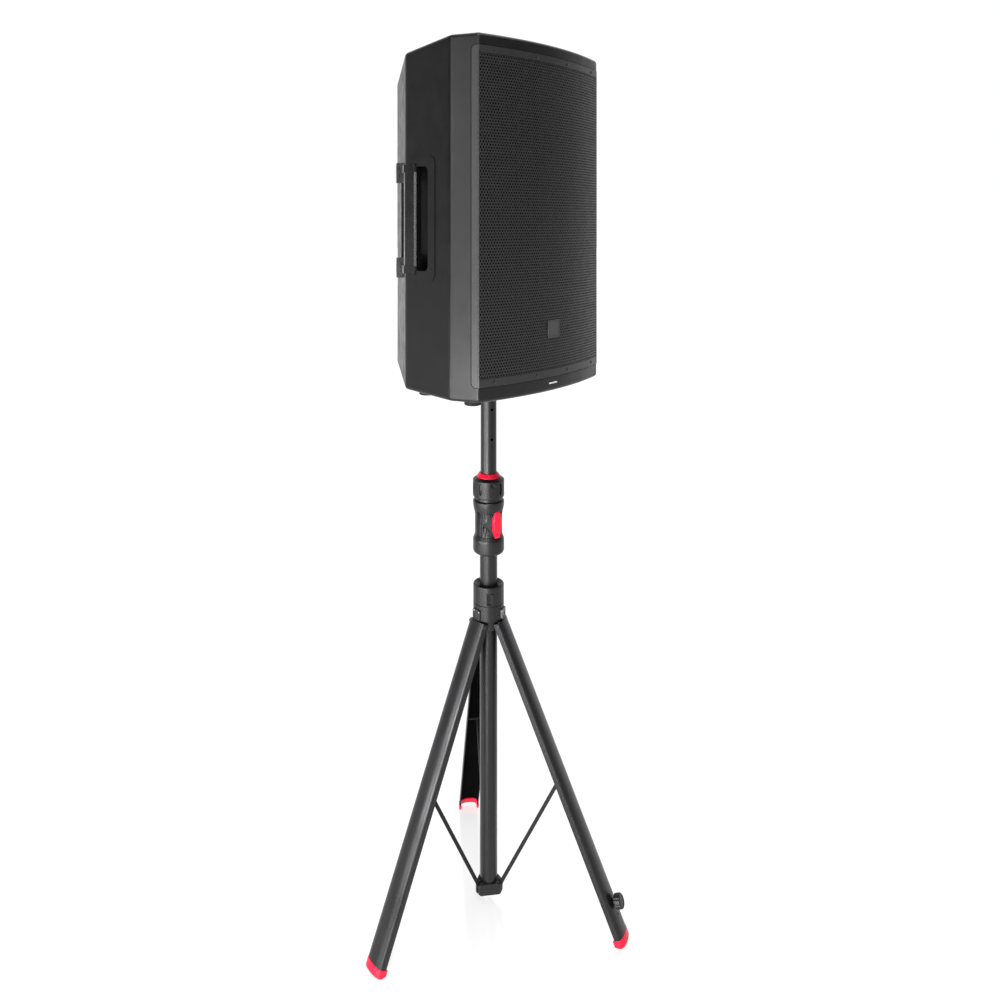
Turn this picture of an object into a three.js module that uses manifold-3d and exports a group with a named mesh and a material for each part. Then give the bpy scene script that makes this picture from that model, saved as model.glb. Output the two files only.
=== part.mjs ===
// Powered two-way loudspeaker on a push-up tripod stand.
// Millimetres, +Z up, floor at z = 0, column axis at x = y = 0, grille facing -Y.
import * as THREE from "three";
import { mergeVertices } from "three/addons/utils/BufferGeometryUtils.js";
import Module from "manifold-3d";

const wasm = await Module();
wasm.setup();

// ---------------------------------------------------------------- driving dimensions
const GAP = 0.3;
const UP = new THREE.Vector3(0, 0, 1);
const DEG = Math.PI / 180;

// The cabinet is drawn in its own frame: x across, y back from its front corners, z up from its underside.
const cabinet = {
  bottom: 1133,
  height: 707,
  poleBack: 149, // column axis behind the front corners
  cornerHalf: 197,
  bulge: 27,
  seamHalf: 219.5,
  seamBack: 56,
  sideHalf: 205.7,
  sideBack: 195.5,
  sideTopDrop: 14,
  sideBottomRise: 2,
  rearHalf: 98,
  rearBack: 338,
  rearTopDrop: 49,
  rearBottomRise: 29,
  cornerRadius: 8,
  rearRadius: 24,
  edgeRadius: 6,
  wall: 5,
};
const grille = { bottom: 29, top: 683, flankHalf: 203, flankBack: 15, thickness: 1.5 };
const baffle = { front: 15.3, back: 22.3 };
const woofer = { height: 235, flangeRadius: 192, openingRadius: 179 };
const horn = { height: 560, mouthWidth: 250, mouthHeight: 200, throatBack: 115 };
const port = { offset: 165, height: 560, width: 34, tall: 150, back: 110 };
const handle = { bottom: 240, top: 463, endTall: 16, tabBottom: 228, tabTop: 470, tabTall: 42 };
const pocket = {
  bottom: 247,
  top: 457,
  front: 121,
  seatFront: 157,
  alongChamfer: 78,
  tabStart: 49,
  liner: 3.5,
};
const panel = { half: 88, bottom: 112, top: 582, face: 324.5, thickness: 3.5, rim: 4 };
const foot = { offset: 160, frontBack: 50, rearOffset: 150, rearBack: 188, radius: 18, height: 14.5 };

const column = { radius: 19, bore: 17.8, bottom: 24.3, top: 872 };
const mast = { radius: 17.5, bore: 15.7, bottom: 243, top: 1213, holes: [1006, 1071], holeAzimuth: -114 };
const hub = { plug: 9, bottom: 22, top: 45.5, flat: 21.5, corner: 31, pivotRadius: 26.6, pivotHeight: 38 };
const grip = { bottom: 757, top: 872.5, radius: 34, waist: 29.6 };
const clutch = { bottom: 880, top: 922, radius: 34.3, neck: 29.8, flutes: 9, firstFlute: 30.8 };
const collar = { bottom: 597, seam: 650, top: 690.5, radius: 33.5, knuckle: 29.6, bore: 19.6 };
const leg = {
  azimuths: [51.3, 171.3, 291.3],
  tilt: 23.6,
  hingeRadius: 30,
  hingeHeight: 608,
  head: 6,
  length: 647,
  footEnd: 662,
  footWall: 5.3,
  knobStation: 588,
  halfWidth: 24,
  outer: 10.5,
  flange: 8,
  crown: 0.77,
  wall: 1.8,
};
const brace = { legStation: 335, legInset: 4, halfWidth: 4.7, thickness: 3.2, pinRadius: 2.2 };
const trigger = {
  azimuth: -99,
  bottom: 795.5,
  top: 852,
  halfWidth: 11,
  endHalf: 6,
  inner: 26.5,
  outer: 32.4,
};
const latch = { azimuth: -132, bottom: 654.5, top: 677.5, halfWidth: 7, inner: 28.5, outer: 35 };

// ---------------------------------------------------------------- solids from three.js geometry
function solid(geometry) {
  const plain = geometry.index ? geometry.toNonIndexed() : geometry.clone();
  plain.deleteAttribute("normal");
  plain.deleteAttribute("uv");
  const merged = mergeVertices(plain, 1e-4);
  const make = (triVerts) =>
    new wasm.Manifold(
      new wasm.Mesh({
        numProp: 3,
        vertProperties: new Float32Array(merged.attributes.position.array),
        triVerts,
      }),
    );
  const faces = new Uint32Array(merged.index.array);
  const made = make(faces);
  if (made.volume() > 0) return made;
  for (let i = 0; i < faces.length; i += 3) {
    [faces[i + 1], faces[i + 2]] = [faces[i + 2], faces[i + 1]];
  }
  return make(faces);
}

function union(solids) {
  return solids.reduce((whole, piece) => whole.add(piece));
}

function cut(body, tools) {
  return tools.reduce((whole, tool) => whole.subtract(tool), body);
}

// A box between two opposite corners.
function block(x0, x1, y0, y1, z0, z1) {
  const box = new THREE.BoxGeometry(x1 - x0, y1 - y0, z1 - z0);
  box.translate((x0 + x1) / 2, (y0 + y1) / 2, (z0 + z1) / 2);
  return solid(box);
}

// A turned solid about +Z from [radius, height] pairs.
function turned(profile, segments = 24) {
  const points = profile.map(([radius, height]) => new THREE.Vector2(radius, height));
  const geometry = new THREE.LatheGeometry(points, segments);
  geometry.rotateX(Math.PI / 2);
  return solid(geometry);
}

function cylinder(radius, z0, z1, segments = 20) {
  return turned([[0, z0], [radius, z0], [radius, z1], [0, z1]], segments);
}

function ring(inner, outer, z0, z1, segments = 24) {
  return turned([[inner, z0], [outer, z0], [outer, z1], [inner, z1], [inner, z0]], segments);
}

// A straight prism over a closed outline of [x, y] pairs, from z0 to z1.
function prism(outline, z0, z1) {
  const shape = new THREE.Shape(outline.map(([x, y]) => new THREE.Vector2(x, y)));
  const geometry = new THREE.ExtrudeGeometry(shape, { depth: z1 - z0, bevelEnabled: false });
  geometry.translate(0, 0, z0);
  return solid(geometry);
}

// A skin over rings of equally many [x, y, z] points, closed by a strip across the first and last ring.
// Each ring runs from its front centre round to its rear and back, mirrored left to right.
function loft(rings) {
  const count = rings[0].length;
  const at = (level, i) => level * count + (i % count);
  const faces = [];
  for (let level = 0; level + 1 < rings.length; level++) {
    for (let i = 0; i < count; i++) {
      faces.push(at(level, i), at(level, i + 1), at(level + 1, i + 1));
      faces.push(at(level, i), at(level + 1, i + 1), at(level + 1, i));
    }
  }
  for (const [level, flip] of [[0, true], [rings.length - 1, false]]) {
    for (let i = 0; i < count / 2; i++) {
      const a = at(level, i);
      const b = at(level, i + 1);
      const c = at(level, count - i - 1);
      const d = at(level, count - i);
      const quads = [[a, b, c], [a, c, d]];
      for (const [p, q, r] of quads) {
        if (p !== q && q !== r && p !== r) faces.push(...(flip ? [p, r, q] : [p, q, r]));
      }
    }
  }
  const geometry = new THREE.BufferGeometry();
  geometry.setAttribute("position", new THREE.Float32BufferAttribute(rings.flat(2), 3));
  geometry.setIndex(faces);
  return solid(geometry);
}

function move(body, x, y, z) {
  return body.translate([x, y, z]);
}

function placed(body, matrix) {
  return body.transform(matrix.elements);
}

// The frame whose local z points along a direction lying at an azimuth, local x tangential.
function radialFrame(azimuth, origin = [0, 0, 0]) {
  const a = azimuth * DEG;
  const outward = new THREE.Vector3(Math.cos(a), Math.sin(a), 0);
  const tangent = new THREE.Vector3(-Math.sin(a), Math.cos(a), 0);
  const matrix = new THREE.Matrix4().makeBasis(tangent, UP, outward);
  return matrix.setPosition(...origin);
}

// ---------------------------------------------------------------- cabinet outlines
// Rounds the corner of an open path with a short arc.
function rounded(previous, corner, next, radius, steps = 4) {
  const a = new THREE.Vector2(...previous).sub(new THREE.Vector2(...corner)).normalize();
  const b = new THREE.Vector2(...next).sub(new THREE.Vector2(...corner)).normalize();
  const half = Math.acos(THREE.MathUtils.clamp(a.dot(b), -1, 1)) / 2;
  const reach = radius / Math.tan(half);
  const start = new THREE.Vector2(...corner).addScaledVector(a, reach);
  const end = new THREE.Vector2(...corner).addScaledVector(b, reach);
  const control = new THREE.Vector2(...corner);
  const curve = new THREE.QuadraticBezierCurve(start, control, end);
  return curve.getPoints(steps).map((p) => [p.x, p.y]);
}

function arcBack(half) {
  return -cabinet.bulge * (1 - (half / cabinet.cornerHalf) ** 2);
}

// Half the plan outline, from the front centre to the rear centre, as [half-width, back] pairs.
function halfPlan() {
  const c = cabinet;
  const front = [0, 0.28, 0.52, 0.74, 0.9].map((f) => [f * c.cornerHalf, arcBack(f * c.cornerHalf)]);
  const corner = [c.cornerHalf, 0];
  const seam = [c.seamHalf, c.seamBack];
  const side = [c.sideHalf, c.sideBack];
  const rear = [c.rearHalf, c.rearBack];
  return [
    ...front,
    ...rounded(front.at(-1), corner, seam, c.cornerRadius, 3),
    seam,
    ...rounded(seam, side, rear, c.rearRadius, 4),
    ...rounded(side, rear, [0, c.rearBack], c.rearRadius, 4),
    [0, c.rearBack],
  ];
}

// The plan moved inwards by an even inset; the corner where two moved edges meet.
function insetHalfPlan(inset) {
  const plan = halfPlan();
  const mirrored = (p) => [-p[0], p[1]];
  return plan.map((point, i) => {
    const before = i === 0 ? mirrored(plan[1]) : plan[i - 1];
    const after = i === plan.length - 1 ? mirrored(plan[i - 1]) : plan[i + 1];
    const normal = (p, q) => new THREE.Vector2(-(q[1] - p[1]), q[0] - p[0]).normalize();
    const n1 = normal(before, point);
    const n2 = normal(point, after);
    const mitre = n1.clone().add(n2).normalize();
    const reach = inset / Math.max(mitre.dot(n1), 0.3);
    return [point[0] + mitre.x * reach, point[1] + mitre.y * reach];
  });
}

function slope(back, sideValue, rearValue) {
  const c = cabinet;
  if (back <= c.seamBack) return 0;
  if (back <= c.sideBack) return (sideValue * (back - c.seamBack)) / (c.sideBack - c.seamBack);
  const f = (back - c.sideBack) / (c.rearBack - c.sideBack);
  return sideValue + (rearValue - sideValue) * f;
}

function topOf(back) {
  return cabinet.height - slope(back, cabinet.sideTopDrop, cabinet.rearTopDrop);
}

function bottomOf(back) {
  return slope(back, cabinet.sideBottomRise, cabinet.rearBottomRise);
}

// One level ring of the cabinet: the plan moved in, at the floor or the roof moved in.
function cabinetRing(inset, fromEnd, top) {
  const plan = insetHalfPlan(inset);
  const height = (back) => (top ? topOf(back) - fromEnd : bottomOf(back) + fromEnd);
  const point = ([x, back]) => [x, back, height(back)];
  const left = plan.slice(1, -1).reverse().map(([x, back]) => point([-x, back]));
  return [...plan.map(point), ...left];
}

function cabinetBody() {
  const r = cabinet.edgeRadius;
  const steps = [[r, 0], [r * 0.3, r * 0.3], [0, r]];
  const floor = steps.map(([inset, rise]) => cabinetRing(inset, rise, false));
  const roof = steps.slice().reverse().map(([inset, drop]) => cabinetRing(inset, drop, true));
  return loft([...floor, ...roof]);
}

function cabinetHollow() {
  const wall = cabinet.wall;
  return loft([cabinetRing(wall, wall, false), cabinetRing(wall, wall, true)]);
}

// A turned solid whose axis runs straight back from the front, from [radius, back] pairs.
function turnedBack(profile, x, z, segments = 20) {
  return move(turned(profile, segments).rotate([-90, 0, 0]), x, 0, z);
}

function mirroredX(body) {
  return body.mirror([1, 0, 0]);
}

// ---------------------------------------------------------------- cabinet: mouldings
function chamferPoint(along, outward = 0) {
  const c = cabinet;
  const dir = new THREE.Vector2(c.rearHalf - c.sideHalf, c.rearBack - c.sideBack).normalize();
  const out = new THREE.Vector2(dir.y, -dir.x);
  return [
    c.sideHalf + dir.x * along + out.x * outward,
    c.sideBack + dir.y * along + out.y * outward,
  ];
}

// The space for the fingers around a side handle, and the seats of its ends, grown by an even margin.
function handPocket(margin) {
  const p = pocket;
  const rear = [
    [132 - margin, 205],
    [132 - margin, 236 + margin],
    chamferPoint(p.alongChamfer + margin, 0),
    chamferPoint(p.alongChamfer + margin, 60),
  ];
  const fingers = [
    [250, p.front - margin],
    [166 - margin, p.front - margin],
    [146 - margin, p.front + 24],
    ...rear,
  ];
  const ends = [[250, p.seatFront - margin], [176 - margin, p.seatFront - margin], ...rear];
  const tabs = [
    chamferPoint(p.tabStart - margin, 60),
    chamferPoint(p.tabStart - margin, -8.3 - margin),
    chamferPoint(p.alongChamfer + margin, -8.3 - margin),
    chamferPoint(p.alongChamfer + margin, 60),
  ];
  const space = margin + GAP;
  return union([
    prism(fingers, p.bottom - margin, p.top + margin),
    prism(ends, handle.bottom - space, handle.top + space),
    prism(tabs, handle.tabBottom - space, handle.tabTop + space),
  ]);
}

function rearShell() {
  const body = cabinetBody();
  const liner = handPocket(pocket.liner);
  const liners = [liner, mirroredX(liner)];
  const pockets = [handPocket(0), mirroredX(handPocket(0))];
  const hollow = cut(cabinetHollow(), liners);
  const opening = block(-90, 90, 300, 360, panel.bottom - 2, panel.top + 2);
  const behindSeam = block(-300, 300, cabinet.seamBack + GAP, 400, -50, 800);
  const socketHole = move(cylinder(22.5, -20, 30), 0, cabinet.poleBack, 0);
  return cut(body.intersect(behindSeam), [hollow, ...pockets, opening, socketHole]);
}

function frontBezel() {
  const g = grille;
  const ahead = block(-300, 300, -100, cabinet.seamBack, -50, 800);
  const hollow = cabinetHollow();
  const behindBaffle = hollow.intersect(block(-300, 300, baffle.back, 400, -50, 800));
  const topVoid = hollow.intersect(block(-300, 300, -100, 400, g.top + 6, 800));
  const bottomVoid = hollow.intersect(block(-300, 300, -100, 400, -50, g.bottom - 6));
  const seat = block(-300, 300, -100, baffle.front, g.bottom - GAP, g.top + GAP);
  const wooferHole = turnedBack(
    [[0, 0], [woofer.openingRadius, 0], [woofer.openingRadius, 40], [0, 40]],
    0,
    woofer.height,
    40,
  );
  const hornHole = block(-131, 131, 0, 40, horn.height - 106, horn.height + 106);
  const lightSlot = block(-13.8, 13.8, -40, -24.5, 15.2, 18.8);
  const duct = (grow, back0) => {
    const w = port.width / 2 + grow;
    const t = port.tall / 2 + grow;
    const z = port.height;
    return block(port.offset - w, port.offset + w, back0, port.back, z - t, z + t);
  };
  const ducts = duct(3, baffle.front);
  const bores = duct(0, baffle.front - 5);
  const openBores = [bores, mirroredX(bores)].map((b) => b.add(move(b, 0, 4, 0)));
  const voids = [behindBaffle, topVoid, bottomVoid, seat, wooferHole, hornHole];
  const shell = cut(cabinetBody().intersect(ahead), voids);
  return cut(union([shell, ducts, mirroredX(ducts)]), [...openBores, lightSlot]);
}

// A strip following the front arc at a given depth behind it, as a closed plan outline.
function arcStrip(half, ahead, thickness, steps = 12) {
  const line = (offset) =>
    Array.from({ length: steps + 1 }, (_, i) => {
      const x = -half + (2 * half * i) / steps;
      return [x, arcBack(x) + offset];
    });
  return [...line(ahead), ...line(ahead + thickness).reverse()];
}

function grilleSheet() {
  const g = grille;
  const half = cabinet.cornerHalf;
  const t = g.thickness;
  const steps = 14;
  const outer = Array.from({ length: steps + 1 }, (_, i) => {
    const x = -half + (2 * half * i) / steps;
    return [x, arcBack(x)];
  });
  const inner = outer.map(([x, back]) => [x * (1 - t / half), back + t]).reverse();
  const outline = [
    [-g.flankHalf, g.flankBack],
    ...outer,
    [g.flankHalf, g.flankBack],
    [g.flankHalf - t, g.flankBack],
    ...inner,
    [-g.flankHalf + t, g.flankBack],
  ];
  return prism(outline, g.bottom, g.top);
}

function grilleFoam() {
  const outline = arcStrip(188, grille.thickness + 1, 5);
  return prism(outline, grille.bottom + 5, grille.top - 5);
}

function badgePlate() {
  return block(-19, 19, -29.1, -27.2, 110, 146);
}

function statusLight() {
  return block(-13.5, 13.5, -27.4, -24.9, 15.5, 18.5);
}

function rubberFoot(x, back, height) {
  const base = bottomOf(back) - GAP;
  const r = foot.radius;
  const profile = [[0, 0], [r - 3, 0], [r - 1.5, 1.5], [r, height], [0, height]];
  return move(turned(profile, 20), x, back, base - height - 0.5);
}

function poleSocket() {
  const cup = turned([
    [18.2, -2.5], [34, -2.5], [34, 0.4], [22, 0.4], [22, 96], [0, 96], [0, 90.3], [18.2, 90.3], [18.2, -2.5],
  ]);
  return move(cup, 0, cabinet.poleBack, 0);
}

// ---------------------------------------------------------------- cabinet: handles
// One side handle: an upright bar across the pocket, with an end block and a taller rear tab at each end.
function sideHandle() {
  const h = handle;
  const low = h.bottom;
  const high = h.top;
  const tabPlan = [[50, -6], [56, 12], [76.5, 12], [76.5, -8]].map(([along, out]) =>
    chamferPoint(along, out),
  );
  const barPlan = [
    [205, 163], [208.4, 168], [207.6, 194], chamferPoint(10, 1.5), chamferPoint(15, -2),
    chamferPoint(13, -20), [184, 194], [186, 172], [190, 164],
  ];
  const endPlan = [
    [206, 162], [210.4, 165], [209.2, 196], chamferPoint(4, 4), chamferPoint(66, 4),
    chamferPoint(66, 12), chamferPoint(76.5, 12), chamferPoint(76.5, -8), chamferPoint(30, -22),
    [180, 194], [184, 164],
  ];
  return union([
    prism(barPlan, low, high),
    prism(endPlan, low, low + h.endTall),
    prism(endPlan, high - h.endTall, high),
    prism(tabPlan, h.tabBottom, h.tabBottom + h.tabTall),
    prism(tabPlan, h.tabTop - h.tabTall, h.tabTop),
  ]);
}

// ---------------------------------------------------------------- cabinet: drivers
function wooferBasket() {
  const f = baffle.front - GAP;
  const frame = turnedBack(
    [
      [175, f - 4], [woofer.flangeRadius, f - 4], [woofer.flangeRadius, f], [177, f], [172, 40],
      [98, 104], [92, 108], [60, 108], [60, 104], [92, 102], [166, 38], [172, f], [175, f],
      [175, f - 4],
    ],
    0,
    woofer.height,
    24,
  );
  const windows = Array.from({ length: 6 }, (_, i) => {
    const cutter = prism([[112, -34], [150, -50], [150, 50], [112, 34]], 35, 110);
    return move(cutter.rotate([0, 0, 60 * i]).rotate([-90, 0, 0]), 0, 0, woofer.height);
  });
  return cut(frame, windows);
}

function wooferMagnet() {
  return turnedBack(
    [
      [0, 108.5], [36.5, 108.5], [36.5, 127], [42, 127], [42, 108.5], [58, 108.5], [58, 112],
      [62, 112], [62, 132], [56, 135], [0, 135],
    ],
    0,
    woofer.height,
  );
}

function wooferCone() {
  return turnedBack(
    [
      [0, 34], [30, 38], [52, 50], [54, 52], [154, 10.5], [155, 12.5], [54, 55], [40.2, 58],
      [40.2, 120], [38.2, 120], [38.2, 52], [30, 41], [0, 37],
    ],
    0,
    woofer.height,
  );
}

function wooferSurround() {
  return turnedBack(
    [
      [155.6, 10.8], [157, 5], [163, 1.2], [169, 4], [171.5, 9.8], [172.9, 10.4], [172.6, 12.6],
      [169.5, 12], [167, 6.5], [163, 3.8], [159.5, 7], [157.6, 12.4], [155.6, 10.8],
    ],
    0,
    woofer.height,
  );
}

function wooferSpider() {
  const waves = Array.from({ length: 7 }, (_, i) => [41.6 + i * 11.5, 80 + (i % 2 ? 3 : 0)]);
  const under = waves.map(([r, back]) => [r, back + 1]).reverse();
  return turnedBack([...waves, ...under, waves[0]], 0, woofer.height, 16);
}

// A rounded rectangle ring facing the front, mirrored left to right, sixteen points.
function mouthRing(halfWidth, halfHeight, roundness, back) {
  return Array.from({ length: 16 }, (_, i) => {
    const a = (i / 16) * Math.PI * 2;
    const s = Math.sin(a);
    const c = Math.cos(a);
    const bend = (value) => Math.sign(value) * Math.abs(value) ** roundness;
    const x = halfWidth * bend(s);
    const z = -halfHeight * bend(c);
    return [x, back, z + horn.height];
  });
}

function hornFlare(grow) {
  const w = horn.mouthWidth / 2;
  const h = horn.mouthHeight / 2;
  const face = baffle.front - GAP - 4;
  return loft([
    mouthRing(w + grow, h + grow, 0.45, face - (grow ? 0 : 1)),
    mouthRing(w * 0.8 + grow, h * 0.8 + grow, 0.5, 34),
    mouthRing(w * 0.45 + grow, h * 0.5 + grow, 0.65, 66),
    mouthRing(13 + grow, 15 + grow, 1, 96),
    mouthRing(12.7 + grow, 12.7 + grow, 1, horn.throatBack + (grow ? 0 : 1)),
  ]);
}

function hornGuide() {
  const face = baffle.front - GAP - 4;
  const z = horn.height;
  const flange = block(-139, 139, face, face + 4, z - 113, z + 113);
  return cut(union([flange, hornFlare(3)]), [hornFlare(0)]);
}

function compressionDriver() {
  const b = horn.throatBack + GAP;
  return turnedBack(
    [[0, b], [24, b], [26, b + 4], [36, b + 4], [38, b + 7], [38, b + 28], [33, b + 36], [0, b + 36]],
    0,
    horn.height,
    24,
  );
}

// ---------------------------------------------------------------- cabinet: amplifier
const jackSpots = { input_jack_1: [-48, 530], input_jack_2: [-10, 530], output_jack: [34, 530] };
const knobSpots = { gain_knob_1: [-48, 478], gain_knob_2: [-10, 478], volume_knob: [34, 478] };
const buttonSpot = [62, 478];
const rockerSpot = [-40, 350];
const inletSpot = [20, 350];

function ampPanel() {
  const p = panel;
  const y0 = p.face - p.thickness;
  const tray = block(-p.half, p.half, y0, cabinet.rearBack, p.bottom, p.top);
  const well = block(
    -p.half + p.rim, p.half - p.rim, p.face, cabinet.rearBack + 5, p.bottom + p.rim, p.top - p.rim,
  );
  const jackHoles = Object.values(jackSpots).map(([x, z]) =>
    turnedBack([[0, 300], [12, 300], [12, 340], [0, 340]], x, z, 20),
  );
  const [bx, bz] = buttonSpot;
  const [rx, rz] = rockerSpot;
  const [ix, iz] = inletSpot;
  const openings = [
    block(bx - 5.5, bx + 5.5, 300, 340, bz - 5.5, bz + 5.5),
    block(rx - 7.5, rx + 7.5, 300, 340, rz - 11, rz + 11),
    block(ix - 24.5, ix + 24.5, 300, 340, iz - 14.5, iz + 14.5),
  ];
  return cut(tray, [well, ...jackHoles, ...openings]);
}

function heatSink() {
  const base = panel.face + GAP;
  const plate = block(-76, 76, base, base + 3, 128, 310);
  const fins = Array.from({ length: 12 }, (_, i) => {
    const x = -74.5 + i * (149 / 11);
    return block(x - 1.2, x + 1.2, base + 2, base + 12, 130, 308);
  });
  return union([plate, ...fins]);
}

function ampBoard() {
  const board = block(-72, 72, 290, 292, 330, 560);
  const coils = [[-40, 400], [-6, 400], [-40, 440]].map(([x, z]) =>
    turnedBack([[0, 275], [12, 275], [12, 291], [0, 291]], x, z, 14),
  );
  const sink = block(24, 52, 270, 291, 350, 410);
  return union([board, sink, ...coils]);
}

function powerSupply() {
  const board = block(-72, 72, 304, 306, 126, 312);
  const transformer = block(-46, -6, 276, 305, 150, 190);
  const cans = [[36, 160], [36, 200], [36, 240]].map(([x, z]) =>
    turnedBack([[0, 275], [12, 275], [12, 305], [0, 305]], x, z, 14),
  );
  return union([board, transformer, ...cans]);
}

function signalJack(x, z) {
  const face = panel.face + GAP;
  const plate = block(x - 13, x + 13, face, face + 2.4, z - 15.5, z + 15.5);
  const barrel = turnedBack([[0, 300], [11.6, 300], [11.6, face + 1], [0, face + 1]], x, z, 20);
  const bore = turnedBack([[0, 306], [8.5, 306], [8.5, 340], [0, 340]], x, z, 20);
  return cut(union([plate, barrel]), [bore]);
}

function rotaryKnob(x, z) {
  const b = panel.face + GAP;
  return turnedBack(
    [[0, b], [9, b], [9, b + 2], [7.6, b + 3], [6.8, b + 11], [6, b + 12], [0, b + 12]],
    x,
    z,
    20,
  );
}

function modeButton() {
  const [x, z] = buttonSpot;
  return block(x - 5, x + 5, 316, 329, z - 5, z + 5);
}

function powerRocker() {
  const [x, z] = rockerSpot;
  const side = [[-10, 317], [10, 317], [10, 326.4], [0, 328], [-10, 330.6]];
  const frame = new THREE.Matrix4().makeBasis(UP, new THREE.Vector3(0, 1, 0), new THREE.Vector3(-1, 0, 0));
  return move(placed(prism(side, -6.8, 6.8), frame), x, 0, z);
}

function powerInlet() {
  const [x, z] = inletSpot;
  const face = panel.face + GAP;
  const flange = block(x - 28, x + 28, face, face + 2.4, z - 17, z + 17);
  const box = block(x - 24, x + 24, 300, face + 1, z - 14, z + 14);
  const well = block(x - 12.5, x + 12.5, 306, 340, z - 8.5, z + 8.5);
  return cut(union([flange, box]), [well]);
}

// ---------------------------------------------------------------- stand: column and mast
function columnTube() {
  return ring(column.bore, column.radius, column.bottom, column.top);
}

function mastTube() {
  const tube = ring(mast.bore, mast.radius, mast.bottom, mast.top);
  const drill = cylinder(3.2, -30, 30, 8);
  const holes = mast.holes.map((z) => placed(drill, radialFrame(mast.holeAzimuth, [0, 0, z])));
  return cut(tube, holes);
}

function mastPiston() {
  const z = mast.bottom;
  return turned([
    [0, z - 18], [16, z - 18], [17.4, z - 16], [17.4, z - GAP], [15.3, z - GAP], [15.3, z + 22],
    [0, z + 22],
  ], 24);
}

function poleCap() {
  const z = mast.top;
  return turned([
    [0, z - 24], [15.3, z - 24], [15.3, z + GAP], [17.3, z + GAP], [17.3, z + 8], [15.5, z + 10],
    [0, z + 10],
  ], 24);
}

// A three-sided block with slotted corners for the braces, and a small plug under its middle.
function baseHub() {
  const h = hub;
  const bore = column.radius + GAP;
  const body = turned([
    [0, h.plug], [6, h.plug], [6, h.bottom], [h.corner - 2, h.bottom], [h.corner, h.bottom + 2],
    [h.corner, h.top - 5], [h.corner - 5, h.top], [bore, h.top], [bore, column.bottom - GAP],
    [0, column.bottom - GAP],
  ]);
  const cutters = leg.azimuths.flatMap((azimuth) => {
    const flat = block(-60, -h.flat, -60, 60, h.bottom - 5, h.top + 5);
    const slot = block(h.flat, 40, -2.1, 2.1, h.bottom - 5, h.top + 5);
    const drill = cylinder(brace.pinRadius + 0.4, -6.4, 6.4, 8).rotate([90, 0, 0]);
    const tools = [flat, slot, move(drill, h.pivotRadius, 0, h.pivotHeight)];
    return tools.map((tool) => tool.rotate([0, 0, azimuth]));
  });
  return cut(body, cutters);
}

// ---------------------------------------------------------------- stand: grip and clutch
// A pointed oval standing upright, as [across, up] pairs.
function lens(halfWidth, halfHeight, steps = 5) {
  const side = (sign) =>
    Array.from({ length: steps }, (_, i) => {
      const a = -Math.PI / 2 + (i / steps) * Math.PI;
      return [sign * halfWidth * Math.cos(a), halfHeight * Math.sin(a)];
    });
  const right = side(1);
  const left = side(1).map(([x, z]) => [-x, -z]);
  return [...right, ...left];
}

function gripBody() {
  const g = grip;
  const r = g.radius;
  const bore = column.radius + GAP;
  const shell = turned([
    [bore, g.bottom], [25, g.bottom], [31.5, g.bottom + 3], [r, g.bottom + 8], [r, g.bottom + 29],
    [r - 2, g.bottom + 36], [g.waist, g.bottom + 45], [g.waist, g.top - 35], [r - 2, g.top - 14],
    [r, g.top - 7], [r, g.top - 2], [r - 1.5, g.top], [bore, g.top], [bore, g.bottom],
  ], 28);
  const well = prism(triggerOutline(0.5), 23.2, 60);
  return cut(shell, [placed(well, triggerFrame())]);
}

// The trigger's face, its sides bowed out and its ends blunt, grown by an even margin.
function triggerOutline(margin) {
  const t = trigger;
  const half = (t.top - t.bottom) / 2 + margin;
  const bow = (f) => t.endHalf + (t.halfWidth - t.endHalf) * (1 - f * f) + margin;
  const right = [-1, -0.6, -0.2, 0.2, 0.6, 1].map((f) => [bow(f), f * half]);
  return [...right, ...right.map(([x, z]) => [-x, -z])];
}

function triggerFrame() {
  return radialFrame(trigger.azimuth, [0, 0, (trigger.bottom + trigger.top) / 2]);
}

function gripTrigger() {
  return placed(prism(triggerOutline(0), trigger.inner, trigger.outer), triggerFrame());
}

function clutchCollet() {
  const inner = mast.radius + GAP;
  return turned([
    [inner, grip.top + GAP], [20.8, grip.top + GAP], [20.8, clutch.top - 4],
    [19.6, clutch.top - 1], [inner, clutch.top - 1], [inner, grip.top + GAP],
  ], 24);
}

function clutchCollar() {
  const c = clutch;
  const body = turned([
    [21.2, grip.top + 0.5], [c.neck, grip.top + 0.5], [c.neck, c.bottom], [c.radius - 2, c.bottom],
    [c.radius, c.bottom + 3], [c.radius, c.top - 4.5], [c.radius - 6, c.top], [21.2, c.top],
    [21.2, grip.top + 0.5],
  ], 30);
  const mid = (c.bottom + c.top) / 2;
  const flutes = Array.from({ length: c.flutes }, (_, i) => {
    const scoop = prism(lens(4, 13.5, 3), c.radius - 2.2, c.radius + 5);
    return placed(scoop, radialFrame((360 / c.flutes) * i + c.firstFlute, [0, 0, mid]));
  });
  return cut(body, flutes);
}

function clutchRing() {
  const z = clutch.top + GAP;
  const inner = mast.radius + GAP;
  return turned([
    [inner, z], [26, z], [26, z + 1.5], [21, z + 8.5], [19.6, z + 9.2], [inner, z + 9.2], [inner, z],
  ]);
}

// ---------------------------------------------------------------- stand: tripod collar
function latchBlock(grow) {
  const l = latch;
  const tall = (l.top - l.bottom) / 2;
  const mid = (l.top + l.bottom) / 2;
  const deep = grow ? l.inner - 3.2 : l.inner;
  const half = l.halfWidth + grow;
  const body = block(-half, half, -tall - grow, tall + grow, deep, l.outer + grow * 9);
  return placed(body, radialFrame(l.azimuth, [0, 0, mid]));
}

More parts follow.
